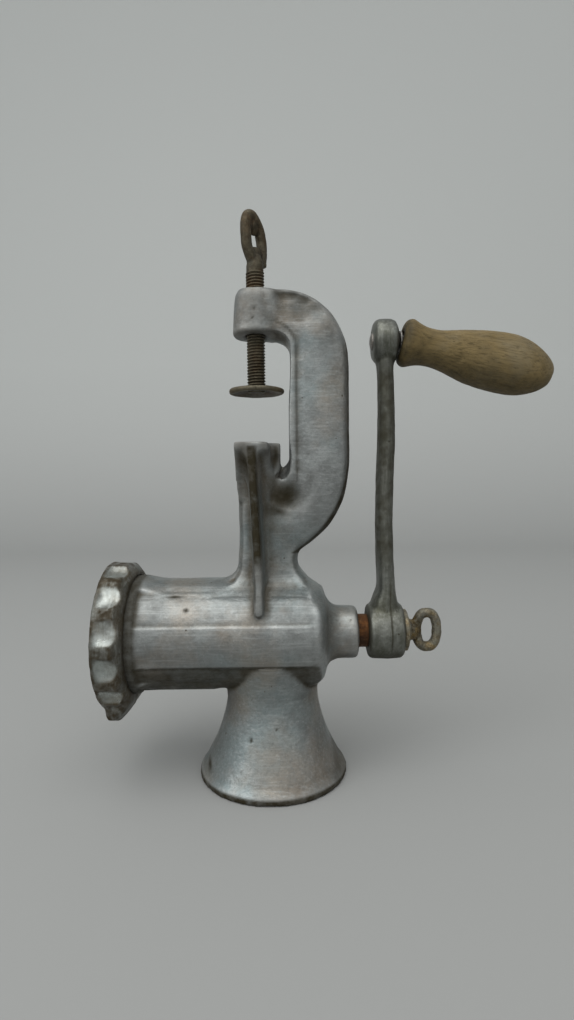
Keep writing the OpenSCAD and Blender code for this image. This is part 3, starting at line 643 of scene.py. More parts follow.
def makeWood(name, look):       # grain runs along the piece's own X
    material, tree, place, shader = startMaterial(name)

    def grainAlong(scale, stretch, low, high, strength):
        along = addNode(tree, "ShaderNodeMapping", {"Vector": place, "Scale": (stretch, 1, 1)}).outputs["Vector"]
        return useGroup(tree, "tonePatches", {"Vector": along, "Scale": scale, "Detail": 5.0, "Roughness": 0.6,
                                              "Low": low, "High": high, "Strength": strength})["Mask"]

    colour = mixColours(tree, grainAlong(110.0, 0.12, 0.35, 0.65, 1.0), look["light"], look["mid"])
    weathered = useGroup(tree, "tonePatches", {"Vector": shifted(tree, place, 0.5), "Scale": 45.0, "Low": 0.45,
                                               "High": 0.7, "Strength": 0.6})
    colour = mixColours(tree, weathered["Mask"], colour, look["grey"])
    streaks = grainAlong(1000.0, 0.06, 0.5, 0.74, 0.6)
    colour = mixColours(tree, streaks, colour, look["dark"])
    pores = grainAlong(1900.0, 0.09, 0.58, 0.72, 0.8)
    colour = mixColours(tree, pores, colour, look["dark"])
    soot = useGroup(tree, "tonePatches", {"Vector": shifted(tree, place, 0.9), "Scale": 60.0, "Detail": 6.0,
                                          "Low": 0.52, "High": 0.74, "Strength": 0.55})
    colour = mixColours(tree, soot["Mask"], colour, look["grime"])
    wear = useGroup(tree, "skinWear", {"Vector": place, "Scale": 220.0, "Grime": 1.0, "Shine": 0.5})
    colour = mixColours(tree, wear["Shine"], colour, look["light"])
    colour = mixColours(tree, wear["Grime"], colour, look["grime"])
    tree.links.new(colour, shader.inputs["Base Color"])
    rough = maths(tree, "ADD", look["roughness"], maths(tree, "MULTIPLY", streaks, 0.25))
    tree.links.new(rough, shader.inputs["Roughness"])
    shader.inputs["Specular IOR Level"].default_value = 0.3
    depth = maths(tree, "SUBTRACT", 1.0, maths(tree, "ADD", streaks, maths(tree, "MULTIPLY", pores, 0.6)))
    bump = addNode(tree, "ShaderNodeBump", {"Height": depth, "Strength": look["bump"], "Distance": 0.4 * mm})
    tree.links.new(bump.outputs["Normal"], shader.inputs["Normal"])
    return material


finishes = {name: makeMetal(name, look) for name, look in metalFinishes.items()}
finishes["grip_wood"] = makeWood("grip_wood", woodFinish)
print("finishes made:", len(finishes))


# Body casting
castBody = {
    "voxel": 0.95 * mm,
    "fillet": 34,           # rounds of relaxing
    "rounding": 3,
    "lumpSize": 11 * mm,
    "lumpDepth": 0.16 * mm,
    "underside": 0.8,       # painted shade with some dirt below the barrel and boss: faces turned down are darkened
    "rimGrow": 0.01,        # the hopper's edge gets back what the skin's smoothing took
    # the clamp frame's line, in millimetres: its top corner's centre, its bend's centre, and its inner edge
    "cornerCentre": (7.0, 214.4),
    "bendCentre": (-15.0, 162.1),
    "innerEdge": (3.1, 25.1),       # distance of the inner edge from either centre
    "bendSweep": 58.0,
    "lipSweep": 24.0,
    "armEnd": 2.0,
    "bandWidth": 30.9,
    "ribLean": 2.6,         # the ribs lean towards the ring at their top
    "cornerDrop": 1.4,      # the top corner is rounder than a quarter circle
    "bendSwell": 0.9,       # and the bend fuller than its circle
    # the top arm's long dish: depth, where it fades out round the corner, and its edges across the arm
    "armDish": {"depth": 2.4, "angles": (28, 74), "low": (5.0, 24.0), "high": (29.4, 27.0), "start": (-1.0, 9.0)},
    # the scooped hollow below the notch: middle, reach and depth
    "scoop": {"middle": (8.2, 143.6), "reach": (12.8, 11.6), "depth": 2.7},
    # the notch's bottom is dressed to a sloping flat from both faces
    "facet": {"edge": ((4.0, 153.7), (9.5, 161.4)), "run": 5.0, "thin": 1.8, "thick": 8.6, "right": 10.1},
    # the frame's opening: centre and radius of its top corner
    "openingCorner": (1.2, 216.6), "openingRound": 8.9,
    "innerShift": 1.0,      # the upright's inner edge lies this much further back at its top
    "lipHalf": 8.3,         # half thickness of the lip along the top arm
    "lipRound": 12.2,       # and its reach from the clamp screw's axis, where it wraps the boss
    "armSag": (0.6, 2.1),       # the underside hangs lower on the far side, under the boss and under the arm
    "bossHalf": 11.25,
    # place along the arm, and how much lower the top is there
    "bossDrop": ((-16, 2.0), (-11, 2.1), (-7, 2.4), (-2, 2.2), (1, 1.8), (3.3, 1.4), (6, 1.4), (8.5, 1.4), (11, 1.5),
                 (14.2, 1.35), (17.5, 0.85), (20.8, 0.4), (24.3, 0)),
    # height, and how much wider the boss is there than a plain cylinder
    "bossTaper": ((222, 0.6), (228, 0.15), (236, -0.25), (241, -0.65), (246, -1.1)),
    # height, and how far the jaw's wings and the pillar reach out towards the ring
    "wingEdge": ((139, 0.9), (143.5, 0.8), (147.3, -0.1), (151, -0.65), (153, -0.4), (156, -0.25), (163, -0.3),
                 (166, -0.15), (170, -0.1)),
    "pillarEdge": ((104, -1.1), (111, -1.1), (118, -0.45), (126, -0.3), (133, -0.35), (136.6, -0.28), (138.3, -0.1),
                   (140.2, 0.4), (142, 0.6), (144, 0.5), (147, 0)),
    "jawRise": 0.5,
    # the barrel's end slopes down to the rear boss at its top: place along the barrel and depth
    "rearSlope": ((15, 0), (18, 0.5), (20.1, 0.9), (22.2, 2.1), (23.7, 2.75), (24.6, 2.6), (25.8, 1.45), (26.8, 0.6),
                  (28, 0)),
    "topGrow": 0.5,         # the barrel is this much fuller along its top
    "bottomRadius": (28.45, 28.7),     # away from the ring and at it
    "lowerSlope": 0.75,     # share of that slope on the underside
    "rearBossTrim": 0.1,
    "rearBossDrop": 0.45,
    # angles of the barrel's panel edges above level, and the radius from each edge up
    "panels": ((-60, 28.35), (-21.2, 29.1), (19.5, 28.4), (47.5, 28.1)),
    "panelSoft": (1.0, 1.2, 3.5),
    "ringFlare": 0.5,
    "dents": (
        # place on the front, reach along and up, and depth, in millimetres
        ((-6.4, 234.8), (0.55, 0.9), 0.5), ((-6.9, 230.6), (0.6, 0.7), 0.45), ((33.3, 200.4), (2.4, 0.35), 0.35),
        ((25.6, 178.6), (2.2, 0.35), 0.4), ((26.5, 188.0), (1.3, 0.3), 0.25), ((-40.5, 89.0), (1.0, 0.8), 0.6),
        ((-47.0, 94.5), (4.0, 0.5), 0.3), ((-10.0, 25.5), (0.8, 1.0), 0.5), ((2.5, 31.0), (0.5, 0.6), 0.3),
        ((-31.8, 8.0), (1.5, 2.6), 0.5),
    ),
    "stains": (
        # dark patches on both faces, some real dirt and some painted shade (under and behind the jaw's wings, over the
        # scoop and its bright lower edge, on the hopper's left flank): place, reach, and how thick it is
        ((-12, -19, 157), (6, 8, 16), 1.0), ((-1.5, -20, 158), (4.2, 6, 14), 0.9), ((-12, -9, 132), (4, 6, 14), 0.4),
        ((-8, -21, 167.2), (14, 3, 1.6), 0.5), ((3.6, -11, 163), (2.4, 8, 9), 1.0), ((2, -10, 148), (4.5, 7, 10), 0.75),
        ((7.5, -6, 142.5), (9.5, 8, 8), 1.0), ((3.5, -8, 135.5), (7, 6, 3.5), 0.9), ((1.5, -9, 128), (3.5, 6, 6), 0.45),
        ((9, -8, 121), (5, 6, 12), 0.25), ((1.5, -9, 137), (5, 6, 4), 0.85), ((12, -8, 141), (6, 6, 5), 0.5),
        ((-14.8, -9, 140), (2, 9, 28), 0.6), ((9.5, -5, 158), (1.2, 7, 10), 0.5),
        ((6, -7, 243.4), (6, 5, 3.0), 0.75), ((12, -7, 242.6), (6, 5, 3.2), 0.8), ((18, -7, 240.4), (6, 5, 3.4), 0.8),
        ((24, -7, 236.8), (5, 5, 3.6), 0.65), ((3, -10, 230), (4, 6, 5), 0.35), ((-7, -11, 236), (10, 6, 13), 0.44),
        ((16, -8, 236), (14, 5, 8), 0.42), ((31, -8, 224), (7, 5, 14), 0.3), ((9, -8, 139), (9, 6, 4.5), 0.6),
        ((-5, -8, 169), (14, 14, 1.6), 0.5), ((-31, -12, 20), (8, 14, 14), 0.35), ((15, -8, 112), (6, 7, 7), 0.35), ((26, -12, 86), (4, 12, 8), 0.3), ((31, -13, 70), (3, 9, 10), 0.35),
        ((22, -18, 42), (5, 9, 10), 0.45), ((-24, -10, 44), (6, 12, 8), 0.55), ((33, -15, 16), (6, 12, 10), 0.35),
        ((-34, -10, 14), (5, 12, 10), 0.4), ((-6, 0, 224.3), (14, 14, 1.4), 0.9), ((6, 4, 224), (8, 8, 3), 0.7),
        ((-65.5, -25, 90), (2.2, 12, 12), 0.8), ((-65.5, -28, 62), (2.4, 12, 14), 0.9),
    ),
}


def bandCentres(points, size):      # nearest point of the frame's centre line for each vertex, and how far round
    corner, bend = np.array(size["cornerCentre"]), np.array(size["bendCentre"])
    flat = points[:, [0, 2]] / mm
    centres = np.empty_like(flat)
    inner = np.full(len(flat), size["innerEdge"][0])
    high, low = flat[:, 1] > corner[1], flat[:, 1] < bend[1]
    centres[:, 0] = corner[0]
    centres[:, 1] = flat[:, 1]
    centres[high] = np.stack([np.minimum(flat[high, 0], corner[0]), np.full(high.sum(), corner[1])], 1)
    centres[low] = bend
    inner[low] = size["innerEdge"][1]
    away = flat - centres
    far = np.maximum(np.linalg.norm(away, axis=1), 0.01)
    return away / far[:, None], far - inner, np.degrees(np.arctan2(away[:, 1], away[:, 0]))


def sweepBand(name, across, half, stations):       # a section swept along the frame's line
    across = np.concatenate([across, across[::-1]])
    half = np.concatenate([half, -half[::-1]])
    rings = []
    for centre, angle, start in stations:
        way = np.array((math.cos(math.radians(angle)), math.sin(math.radians(angle))))
        flat = centre + np.outer(across + start, way)
        rings.append(np.stack([flat[:, 0], half, flat[:, 1]], 1) * mm)
    return skinMesh(name, np.array(rings))


def frameFill(size, first, last, low):     # the frame's section, which closes the hollows before they are cut anew
    across = np.linspace(low, size["bandWidth"] - 0.2, 36)
    crown = 9.5 - 32 + np.sqrt(32 ** 2 - (across - 15.45) ** 2)
    end = np.sqrt(np.clip(9 ** 2 - np.clip(across - 21.9, 0, 8.99) ** 2, 0.2, None))
    corner, bend = np.array(size["cornerCentre"]), np.array(size["bendCentre"])
    near, far = size["innerEdge"]
    stations = [(corner, angle, near) for angle in np.linspace(max(first, 0), max(last, 0), 20)]
    if first == 90:
        stations.insert(0, (np.array((size["armEnd"], corner[1])), 90.0, near))
    if last < 0:
        stations += [(bend, angle, far) for angle in np.linspace(0, last, 24)]
    return sweepBand("frameFill", across, np.minimum(crown, end) - 0.1, stations)


def lipFill(size):      # the raised lip runs on past the notch
    bend, far = np.array(size["bendCentre"]), size["innerEdge"][1]
    stations = [(np.array((size["cornerCentre"][0], 172.0)), 0.0, size["innerEdge"][0])]
    stations += [(bend, angle, far) for angle in np.linspace(0, -size["lipSweep"], 8)]
    return sweepBand("lipFill", np.linspace(0.1, 3.2, 6), np.array([7.2, 7.6, 7.6, 7.6, 7.6, 7.2]), stations)


def blockMesh(name, outline, half):     # (x, z) outline in millimetres, drawn out to both sides of the middle
    flat = np.array(outline, float)
    return skinMesh(name, np.array([np.stack([flat[:, 0], np.full(len(flat), y), flat[:, 1]], 1) * mm
                                    for y in (-half, half)]))


def ribFlare():     # the ribs spread into the jaw's underside
    left = [(-13.0, 167.6), (-10.8, 166.0), (-9.0, 163.4), (-7.8, 159.5), (-7.3, 154.0)]
    right = [(-3.5, 154.0), (-3.3, 160.0), (-2.8, 164.5), (-1.8, 167.6)]
    return blockMesh("ribFlare", left + right, 20.9)


def bandDepth(points, size):        # how much of the local half thickness is cut away, in millimetres
    x, z = points[:, 0] / mm, points[:, 2] / mm
    way, across, angle = bandCentres(points, size)
    dish = size["armDish"]
    depth = dish["depth"] * smoothStep(angle, *dish["angles"]) * smoothStep(across, *dish["low"])
    depth *= smoothStep(across, *dish["high"]) * smoothStep(x, *dish["start"]) * (z > size["cornerCentre"][1])
    scoop = size["scoop"]
    away = np.hypot((x - scoop["middle"][0]) / scoop["reach"][0], (z - scoop["middle"][1]) / scoop["reach"][1])
    return np.maximum(depth, scoop["depth"] * smoothStep(away, 1.0, 0.0))


def openingGap(points, size):       # distance of each vertex outside the frame's opening
    across = points[:, 0] / mm - size["openingCorner"][0]
    up = points[:, 2] / mm - size["openingCorner"][1]
    outside = np.hypot(np.maximum(across, 0), np.maximum(up, 0))
    return np.where(outside > 0, outside, np.maximum(across, up)) - size["openingRound"]


def shapeFrame(points, size):       # wear and foundry unevenness of the clamp frame, as the real one has them
    x, y, z = points.T / mm
    way, across, angle = bandCentres(points, size)
    corner = size["cornerCentre"]
    round = np.degrees(np.arctan2(z - corner[1], x - corner[0]))
    grow = -size["cornerDrop"] * smoothStep(round, -16, 32) * smoothStep(round, 84, 58) * (z > 190)
    grow += size["bendSwell"] * smoothStep(-angle, 8, 26) * smoothStep(-angle, 56, 34) * (z < size["bendCentre"][1])
    points[:, [0, 2]] += way * (grow * smoothStep(across, 11, 30))[:, None] * mm
    gap = openingGap(points, size)
    upright = smoothStep(gap, -3, -1) * smoothStep(gap, 9, 3) * smoothStep(x, 5, 8)
    points[:, 0] += size["innerShift"] * upright * smoothStep(z, 184, 210) * mm
    screw = clampPlace.x / mm
    reach = np.sqrt(np.clip(size["lipRound"] ** 2 - (x - screw) ** 2, 0, None))
    reach = np.maximum(reach, size["lipHalf"])
    lip = smoothStep(gap, 3.8, 2.9) * smoothStep(gap, -0.8, 0.3) * smoothStep(x, -8.5, -5.5) * smoothStep(z, 212, 221)
    lip *= smoothStep(np.abs(y), reach - 3.4, reach - 1.4)
    points[:, 1] += np.sign(y) * lip * np.clip(reach - np.abs(y), 0, None) * mm
    sag = size["armSag"][0] + (size["armSag"][1] - size["armSag"][0]) * smoothStep(x, -2, 4)
    sag *= smoothStep(gap, 5.5, 0.5) * smoothStep(y, -8, 8) * smoothStep(z, 212, 222) * smoothStep(np.abs(x), 24, 20)
    points[:, 2] -= sag * mm


def shapeBoss(points, size):
    x, y, z = points.T / mm
    screw = clampPlace.x / mm
    away = np.hypot(x - screw, y)
    heights, widths = np.array(size["bossTaper"]).T
    above = (z > 219) * smoothStep(x, 4, -2)
    grow = -above * np.clip(away - size["bossHalf"], 0, 3)
    grow += np.interp(z, heights, widths) * above * smoothStep(away, 8.5, 10.5)
    share = 1 + grow / np.maximum(away, 1)
    points[:, 0] = (screw + (x - screw) * share) * mm
    points[:, 1] *= share
    points[:, 2] -= np.interp(x, *np.array(size["bossDrop"]).T) * smoothStep(z, 236, 247.5) * mm


def shapeJaw(points, size):
    x, y, z = points.T / mm
    wing = smoothStep(np.abs(y), 8.6, 9.8) * smoothStep(x, -10, -13) * (z > 138) * (z < 172)
    pillar = smoothStep(np.abs(y), 9.8, 8.6) * smoothStep(x, -8, -13) * (z > 98) * (z < 147)
    pillar *= smoothStep(z, 98, 104)
    shift = wing * np.interp(z, *np.array(size["wingEdge"]).T) + pillar * np.interp(z, *np.array(size["pillarEdge"]).T)
    lean = smoothStep(np.abs(y), 8.5, 12) * smoothStep(z, 95, 170) * smoothStep(np.abs(x + 5.4), 9, 4) * (z < 172)
    points[:, 0] += (shift - size["ribLean"] * lean) * mm
    points[:, 2] += size["jawRise"] * smoothStep(z, 150, 167) * smoothStep(x, 9, 6) * (z < 172) * mm


def cutFacet(points, size):
    facet = size["facet"]
    x, y, z = points.T / mm
    low, high = np.array(facet["edge"])
    along = (high - low) / np.linalg.norm(high - low)
    depth = (x - low[0]) * along[1] - (z - low[1]) * along[0]
    far = (x - low[0]) * along[0] + (z - low[1]) * along[1]
    plane = facet["thin"] + (facet["thick"] - facet["thin"]) * depth / facet["run"]
    where = (depth > 0) & (depth < facet["run"]) & (x < facet["right"]) & (np.abs(y) > plane)
    where &= (far > -1) & (far < np.linalg.norm(high - low) + 0.5)
    points[:, 1] = np.where(where, np.sign(y) * plane * mm, points[:, 1])


def facetFill(size):        # the web below the notch, thin at its sloping top edge
    facet = size["facet"]
    low, high = np.array(facet["edge"])
    down = np.array((high[1] - low[1], low[0] - high[0])) / np.linalg.norm(high - low) * facet["run"]
    rings = []
    for shift, half in ((0, facet["thin"]), (1, facet["thick"] - 0.4)):
        a, b = low + shift * down, high + shift * down
        rings.append([(a[0], -half, a[1]), (a[0], half, a[1]), (b[0] + 1, half, b[1]), (b[0] + 1, -half, b[1])])
    return skinMesh("facetFill", np.array(rings) * mm)


def flankFill():        # the boss runs into the arm without a groove
    plan = [(-4, -11), (1, -10.1), (6, -8.4), (11, -6.2), (11, 6.2), (6, 8.4), (1, 10.1), (-4, 11)]
    return skinMesh("flankFill", np.array([[(x, y, z) for x, y in plan] for z in (226.4, 245.6)]) * mm)


def ribRoot():      # the ribs' roots spread over the pillar's faces, further on the side of the crank
    rings = []
    for z, left, right in ((97, 2.4, 3.0), (125, 2.6, 3.8), (150, 3.0, 5.2), (164, 3.4, 6.6)):
        near, far = -5.4 - left, -5.4 + right
        rings.append([(near, -8, z), (-7.2, -19.5, z), (-3.6, -19.5, z), (far, -8, z), (far, 8, z), (-3.6, 19.5, z),
                      (-7.2, 19.5, z), (near, 8, z)])
    return skinMesh("ribRoot", np.array(rings) * mm)


def panelRadius(angle, panels, softness):
    radius = np.full(len(angle), float(panels[0][1]))
    for (_, before), (edge, after), soft in zip(panels, panels[1:], softness):
        radius += (after - before) * smoothStep(angle, edge - soft, edge + soft)
    return radius


def sharpenPanels(points, size, axis):
    x, y, z = points.T / mm
    angle = np.degrees(np.arctan2(z - axis / mm, np.abs(y)))
    radius = np.hypot(y, z - axis / mm)
    flare = size["ringFlare"] * smoothStep(x, -52, -66)
    where = smoothStep(x, -66.4, -65.0) * smoothStep(x, 20.5, 18.5)
    where *= smoothStep(np.abs(radius - 28.3 - flare), 2.1, 1.5)
    where *= smoothStep(angle, -44, -38) * smoothStep(angle, 60, 55)
    where *= np.maximum(smoothStep(angle, -23.5, -22.4), smoothStep(x, -27, -30))
    where *= np.maximum(smoothStep(angle, 24, 21), smoothStep(np.abs(x + 5.4), 5, 7))
    where *= np.maximum(smoothStep(angle, 52, 49), smoothStep(x, -27, -31))
    wanted = panelRadius(angle, size["panels"], size["panelSoft"]) + flare
    share = 1 + where * (wanted - radius) / np.maximum(radius, 1) * 0.9
    points[:, 1] *= share
    points[:, 2] = axis + (points[:, 2] - axis) * share


def roundBarrel(points, size, axis):        # the barrel's top, underside and rear end
    x, y, z = points.T / mm
    angle = np.degrees(np.arctan2(z - axis / mm, np.abs(y)))
    radius = np.maximum(np.hypot(y, z - axis / mm), 1)
    move = size["topGrow"] * smoothStep(angle, 54, 70) * smoothStep(x, -60, -50) * smoothStep(x, -8, -20)
    move *= smoothStep(np.abs(radius - 28.6), 3.5, 1.6)
    below = smoothStep(-angle, 44, 60) * smoothStep(x, -67, -66) * smoothStep(x, -25, -30)
    below *= smoothStep(np.abs(radius - 29), 3.6, 2.4)
    far, near = size["bottomRadius"]
    move += below * (far + (near - far) * smoothStep(x, -56, -66) - radius)
    slope = np.interp(x, *np.array(size["rearSlope"]).T)
    slope *= smoothStep(angle, 28, 58) + size["lowerSlope"] * smoothStep(-angle, 40, 62)
    move -= slope * smoothStep(radius, 21, 26) * smoothStep(radius, 38, 32)
    move -= size["rearBossTrim"] * smoothStep(x, 27, 31) * smoothStep(radius, 10, 12)
    share = 1 + move / radius
    points[:, 1] *= share
    points[:, 2] = axis + (points[:, 2] - axis) * share
    points[:, 2] -= size["rearBossDrop"] * smoothStep(x, 29, 32) * smoothStep(radius, 9.2, 11) * (radius < 22) * mm


def makeCastBody(size):
    pillar = [(-13.2, 130), (-13.9, 158), (-2, 163), (4.9, 163), (5.6, 157), (4.2, 153.6), (7.4, 150.9), (11, 152),
              (11, 149), (4, 130)]
    mesh = meltMesh("castBody", [frame["nodes"]["body_casting"].data, frameFill(size, 90, 12, 9.0),
                                 frameFill(size, 14, -size["bendSweep"], 0.6), lipFill(size), ribFlare(),
                                 ribRoot(), flankFill(), facetFill(size), blockMesh("pillarFill", pillar, 7.9)],
                    size["voxel"])
    print("casting skin:", len(mesh.polygons), "faces")
    axis = barrelLine.translation.z

    def reach(points):
        return np.hypot(points[:, 1], points[:, 2] - axis)

    def filletWhere(points):
        clear = smoothStep(reach(points), 25.5 * mm, 27.5 * mm)
        clear *= smoothStep(points[:, 0], -66 * mm, -62 * mm)
        clear *= 1 - 0.75 * smoothStep(np.abs(reach(points) - 28.3 * mm), 1.5 * mm, 0.9 * mm)
        facet = np.hypot(points[:, 0] - 7.5 * mm, points[:, 2] - 156 * mm)
        clear *= smoothStep(facet, 7 * mm, 10 * mm)
        return clear * smoothStep(points[:, 2], 20 * mm, 40 * mm)

    def keepWhere(points):
        inside = (reach(points) < 27.4 * mm) & (points[:, 0] < 21 * mm) & (points[:, 2] > 50 * mm)
        return np.where(inside | (points[:, 0] < -66 * mm), 1.0, 0.0)

    castSkin(mesh, size, filletWhere, keepWhere)
    points = getPoints(mesh)
    thin = smoothStep(np.abs(points[:, 1]), 11.2 * mm, 9.6 * mm)
    points[:, 1] *= 1 - np.clip(bandDepth(points, size) / 8.6, 0, 0.85) * thin
    cutFacet(points, size)
    shapeFrame(points, size)
    shapeBoss(points, size)
    shapeJaw(points, size)
    sharpenPanels(points, size, axis)
    roundBarrel(points, size, axis)
    seam = smoothStep(np.hypot(points[:, 0] / mm - 9, (points[:, 2] / mm - 125) / 1.4), 11, 5)
    points[:, 1] += seam * (relax(points, getPairs(mesh), 40)[:, 1] - points[:, 1])
    rim = smoothStep(points[:, 2], 7 * mm, 3 * mm) * smoothStep(np.hypot(points[:, 0], points[:, 1]), 33 * mm, 36 * mm)
    points[:, :2] *= 1 + size["rimGrow"] * rim[:, None]
    for (x, z), reaches, depth in size["dents"]:
        gap = np.hypot((points[:, 0] / mm - x) / reaches[0], (points[:, 2] / mm - z) / reaches[1])
        points[:, 1] += np.where(points[:, 1] < 0, np.exp(-gap ** 2) * depth * mm, 0)
    setPoints(mesh, points)
    markWear(mesh, 10, 0.22 * mm)
    paintCastBody(mesh, size, reach)
    addPiece("castBody", mesh, "casting", "tinned_iron", "body_casting")


def paintCastBody(mesh, size, reach):
    points, normals = getPoints(mesh), getNormals(mesh)
    x, y, z = points.T / mm
    away = reach(points) / mm
    way, across, angle = bandCentres(points, size)
    # painted shade with some dirt: faces under the barrel that turn down are darkened
    film = smoothStep(-normals[:, 2], 0.22, 0.5) * smoothStep(away, 26, 27.5) * smoothStep(away, 32.5, 30.5)
    film *= size["underside"]
    film = np.maximum(film, 0.55 * smoothStep(x, 28, 32) * smoothStep(z, 66, 60))
    gap = openingGap(points, size)
    groove = np.exp(-((gap - 3.9) / 0.8) ** 2) * (z > 150) * (np.abs(y) > 4) * (x > 2)
    film = np.maximum(film, 0.6 * groove)
    # painted shade: the frame's outer edge face, which turns away, is darkened
    edge = smoothStep(across, 28.2, 29.6) * smoothStep(np.abs(y), 9.2, 7.0) * (z > 114)
    film = np.maximum(film, (0.78 + 0.17 * smoothStep(z, 190, 160)) * edge)
    # part painted contact shadow, part dirt: a dark band along the hopper's bottom rim where it stands
    film = np.maximum(film, 0.95 * smoothStep(z, 3.6, 2.4) * smoothStep(np.hypot(x, y), 34, 35.5))
    # part painted shade, part dirt: a darker front face and edge line on each rib
    rib = -5.4 - size["ribLean"] * smoothStep(z, 95, 170)
    front = smoothStep(np.abs(x - rib), 3.5, 1.5) * smoothStep(np.abs(y), 15, 18)
    front *= smoothStep(z, 86, 92) * (0.3 + 0.7 * smoothStep(z, 100, 118))
    film = np.maximum(film, front * smoothStep(z, 168.2, 167))
    edge = np.exp(-((x - rib + 1.7) / 0.7) ** 2) * smoothStep(np.abs(y), 15, 18) * smoothStep(z, 88, 96) * (z < 166)
    film = np.maximum(film, 0.85 * edge)
    film = np.maximum(film, 0.8 * smoothStep(x, -62.5, -65.5))
    # the listed patches: dirt in some places, painted shade in others
    mirrored = np.stack([x, -np.abs(y), z], 1)
    for place, spread, strength in size["stains"]:
        far = np.linalg.norm((mirrored - np.array(place)) / np.array(spread), axis=1)
        film = np.maximum(film, strength * np.exp(-far ** 2))
    for (dentX, dentZ), reaches, depth in size["dents"]:
        far = np.hypot((x - dentX) / reaches[0], (z - dentZ) / reaches[1])
        film = np.maximum(film, np.where(y < 0, np.exp(-far ** 2), 0))
    # painted highlight: the notch's sloping facet and the upright's inner edge lose the dark film and are painted
    # bright
    facet = size["facet"]
    low, high = np.array(facet["edge"])
    along = (high - low) / np.linalg.norm(high - low)
    depth = (x - low[0]) * along[1] - (z - low[1]) * along[0]
    length = (x - low[0]) * along[0] + (z - low[1]) * along[1]
    bare = smoothStep(depth, -0.4, 0.5) * smoothStep(depth, 6.2, 5.0) * smoothStep(length, -1.5, 0)
    bare *= smoothStep(length, 11.5, 10) * smoothStep(np.abs(y), 10, 9) * smoothStep(x, 10.8, 10)
    upright = np.exp(-((x - 11.8) / 1.3) ** 2 - ((z - 154.5) / 4.2) ** 2 - ((np.abs(y) - 8) / 2.5) ** 2)
    bare = np.maximum(bare, upright)
    setMask(mesh, "stain", film * (1 - 0.92 * bare))
    addMask(mesh, "ridge", 0.6 * bare)


makeCastBody(castBody)
print("casting made")


# Ring nut: drawn from its own section, with broad scallops in thirteen places but the lug's
ringNut = {
    "voxel": 0.6 * mm, "fillet": 14, "rounding": 3, "lumpSize": 6 * mm, "lumpDepth": 0.2 * mm,
    # place along the barrel and radius, in millimetres
    "section": ((-82.8, 23.5), (-83.1, 24.2), (-83.1, 36.4), (-82.9, 37.0), (-82.2, 37.3), (-72.9, 37.2),
                (-72.1, 36.4), (-70.2, 34.2), (-69.7, 33.2), (-69.1, 31.6), (-68.9, 30.15), (-81.0, 30.15),
                (-81.0, 23.5)),
    "root": 30.0,
    "rim": 36.9,
    "slots": 13,
    "lugAngle": -68.5,      # degrees above level, on the side of the jaw's front wing
    "scallop": {"half": 9.6, "depth": 2.1, "front": (-82.6, -78.6), "frontShare": 0.0, "rear": (-75.0, -70.6), "shallow": 6},
    # radius, front and rear edge, half width
    "lug": ((29.6, -83.1, -68.9, 9.0), (34.0, -83.1, -69.2, 8.6), (36.5, -82.9, -70.8, 7.8), (39.0, -82.4, -72.8, 6.8),
            (41.3, -81.9, -74.8, 5.8), (42.3, -81.5, -75.7, 4.9), (42.9, -80.9, -76.5, 3.6)),
}


def scallopDepth(turn, along, size):
    scallop = size["scallop"]
    pitch = 360 / size["slots"]
    place = (np.degrees(turn) - size["lugAngle"] + 180) % 360 - 180
    slot = np.round(place / pitch)
    side = (place - slot * pitch) / scallop["half"]
    end = np.clip((along - scallop["rear"][0]) / (scallop["rear"][1] - scallop["rear"][0]), 0, None)
    inside = np.clip(1 - side ** 2 - end ** 2, 0, 1)
    open = scallop["frontShare"] + (1 - scallop["frontShare"]) * smoothStep(along, *scallop["front"])
    deep = np.where(slot == scallop["shallow"], 0.3, 1.0) * scallop["depth"]
    return np.where(slot == 0, 0, deep * open * inside ** 0.8)


def makeRingNut(size):
    outline = denser(list(size["section"]) + [size["section"][0]], 0.55)[:-1]
    along, radius = np.array(outline).T
    turn = np.linspace(0, 2 * math.pi, 720, endpoint=False)
    depth = scallopDepth(turn[None, :], along[:, None], size)
    root, rim = size["root"], size["rim"]
    reach = radius[:, None] * np.ones(720)
    outer = reach > root + 0.3
    reach = np.where(outer, root + (reach - root) * (1 - depth / (rim - root)), reach)
    rings = mm * np.stack([along[:, None] * np.ones(720), -reach * np.cos(turn), reach * np.sin(turn)], 2)
    band = placed(skinMesh("band", rings, loop=True), barrelLine)
    corner = np.linspace(0, 2 * math.pi, 40, endpoint=False)
    across = np.sign(np.cos(corner)) * np.abs(np.cos(corner)) ** 0.6
    around = np.sign(np.sin(corner)) * np.abs(np.sin(corner)) ** 0.6
    way = math.radians(size["lugAngle"])
    rings = []
    for far, front, rear, half in size["lug"]:
        x = (front + rear) / 2 + (rear - front) / 2 * across
        side = half * around
        rings.append(np.stack([x, -far * math.cos(way) - side * math.sin(way),
                               far * math.sin(way) - side * math.cos(way)], 1) * mm)
    lug = placed(skinMesh("lug", np.array(rings)), barrelLine)
    mesh = meltMesh("ringNut", [band, lug], size["voxel"])

    def keepWhere(points):
        inside = np.hypot(points[:, 1], points[:, 2] - barrelLine.translation.z) < 30.6 * mm
        return np.where(inside & (points[:, 0] > -82 * mm), 1.0, 0.0)

    castSkin(mesh, size, None, keepWhere)
    paintRingNut(mesh, size)
    print("ring nut skin:", len(mesh.polygons), "faces")
    addPiece("ringNut", mesh, "ring", "ring_iron", "ring_nut")


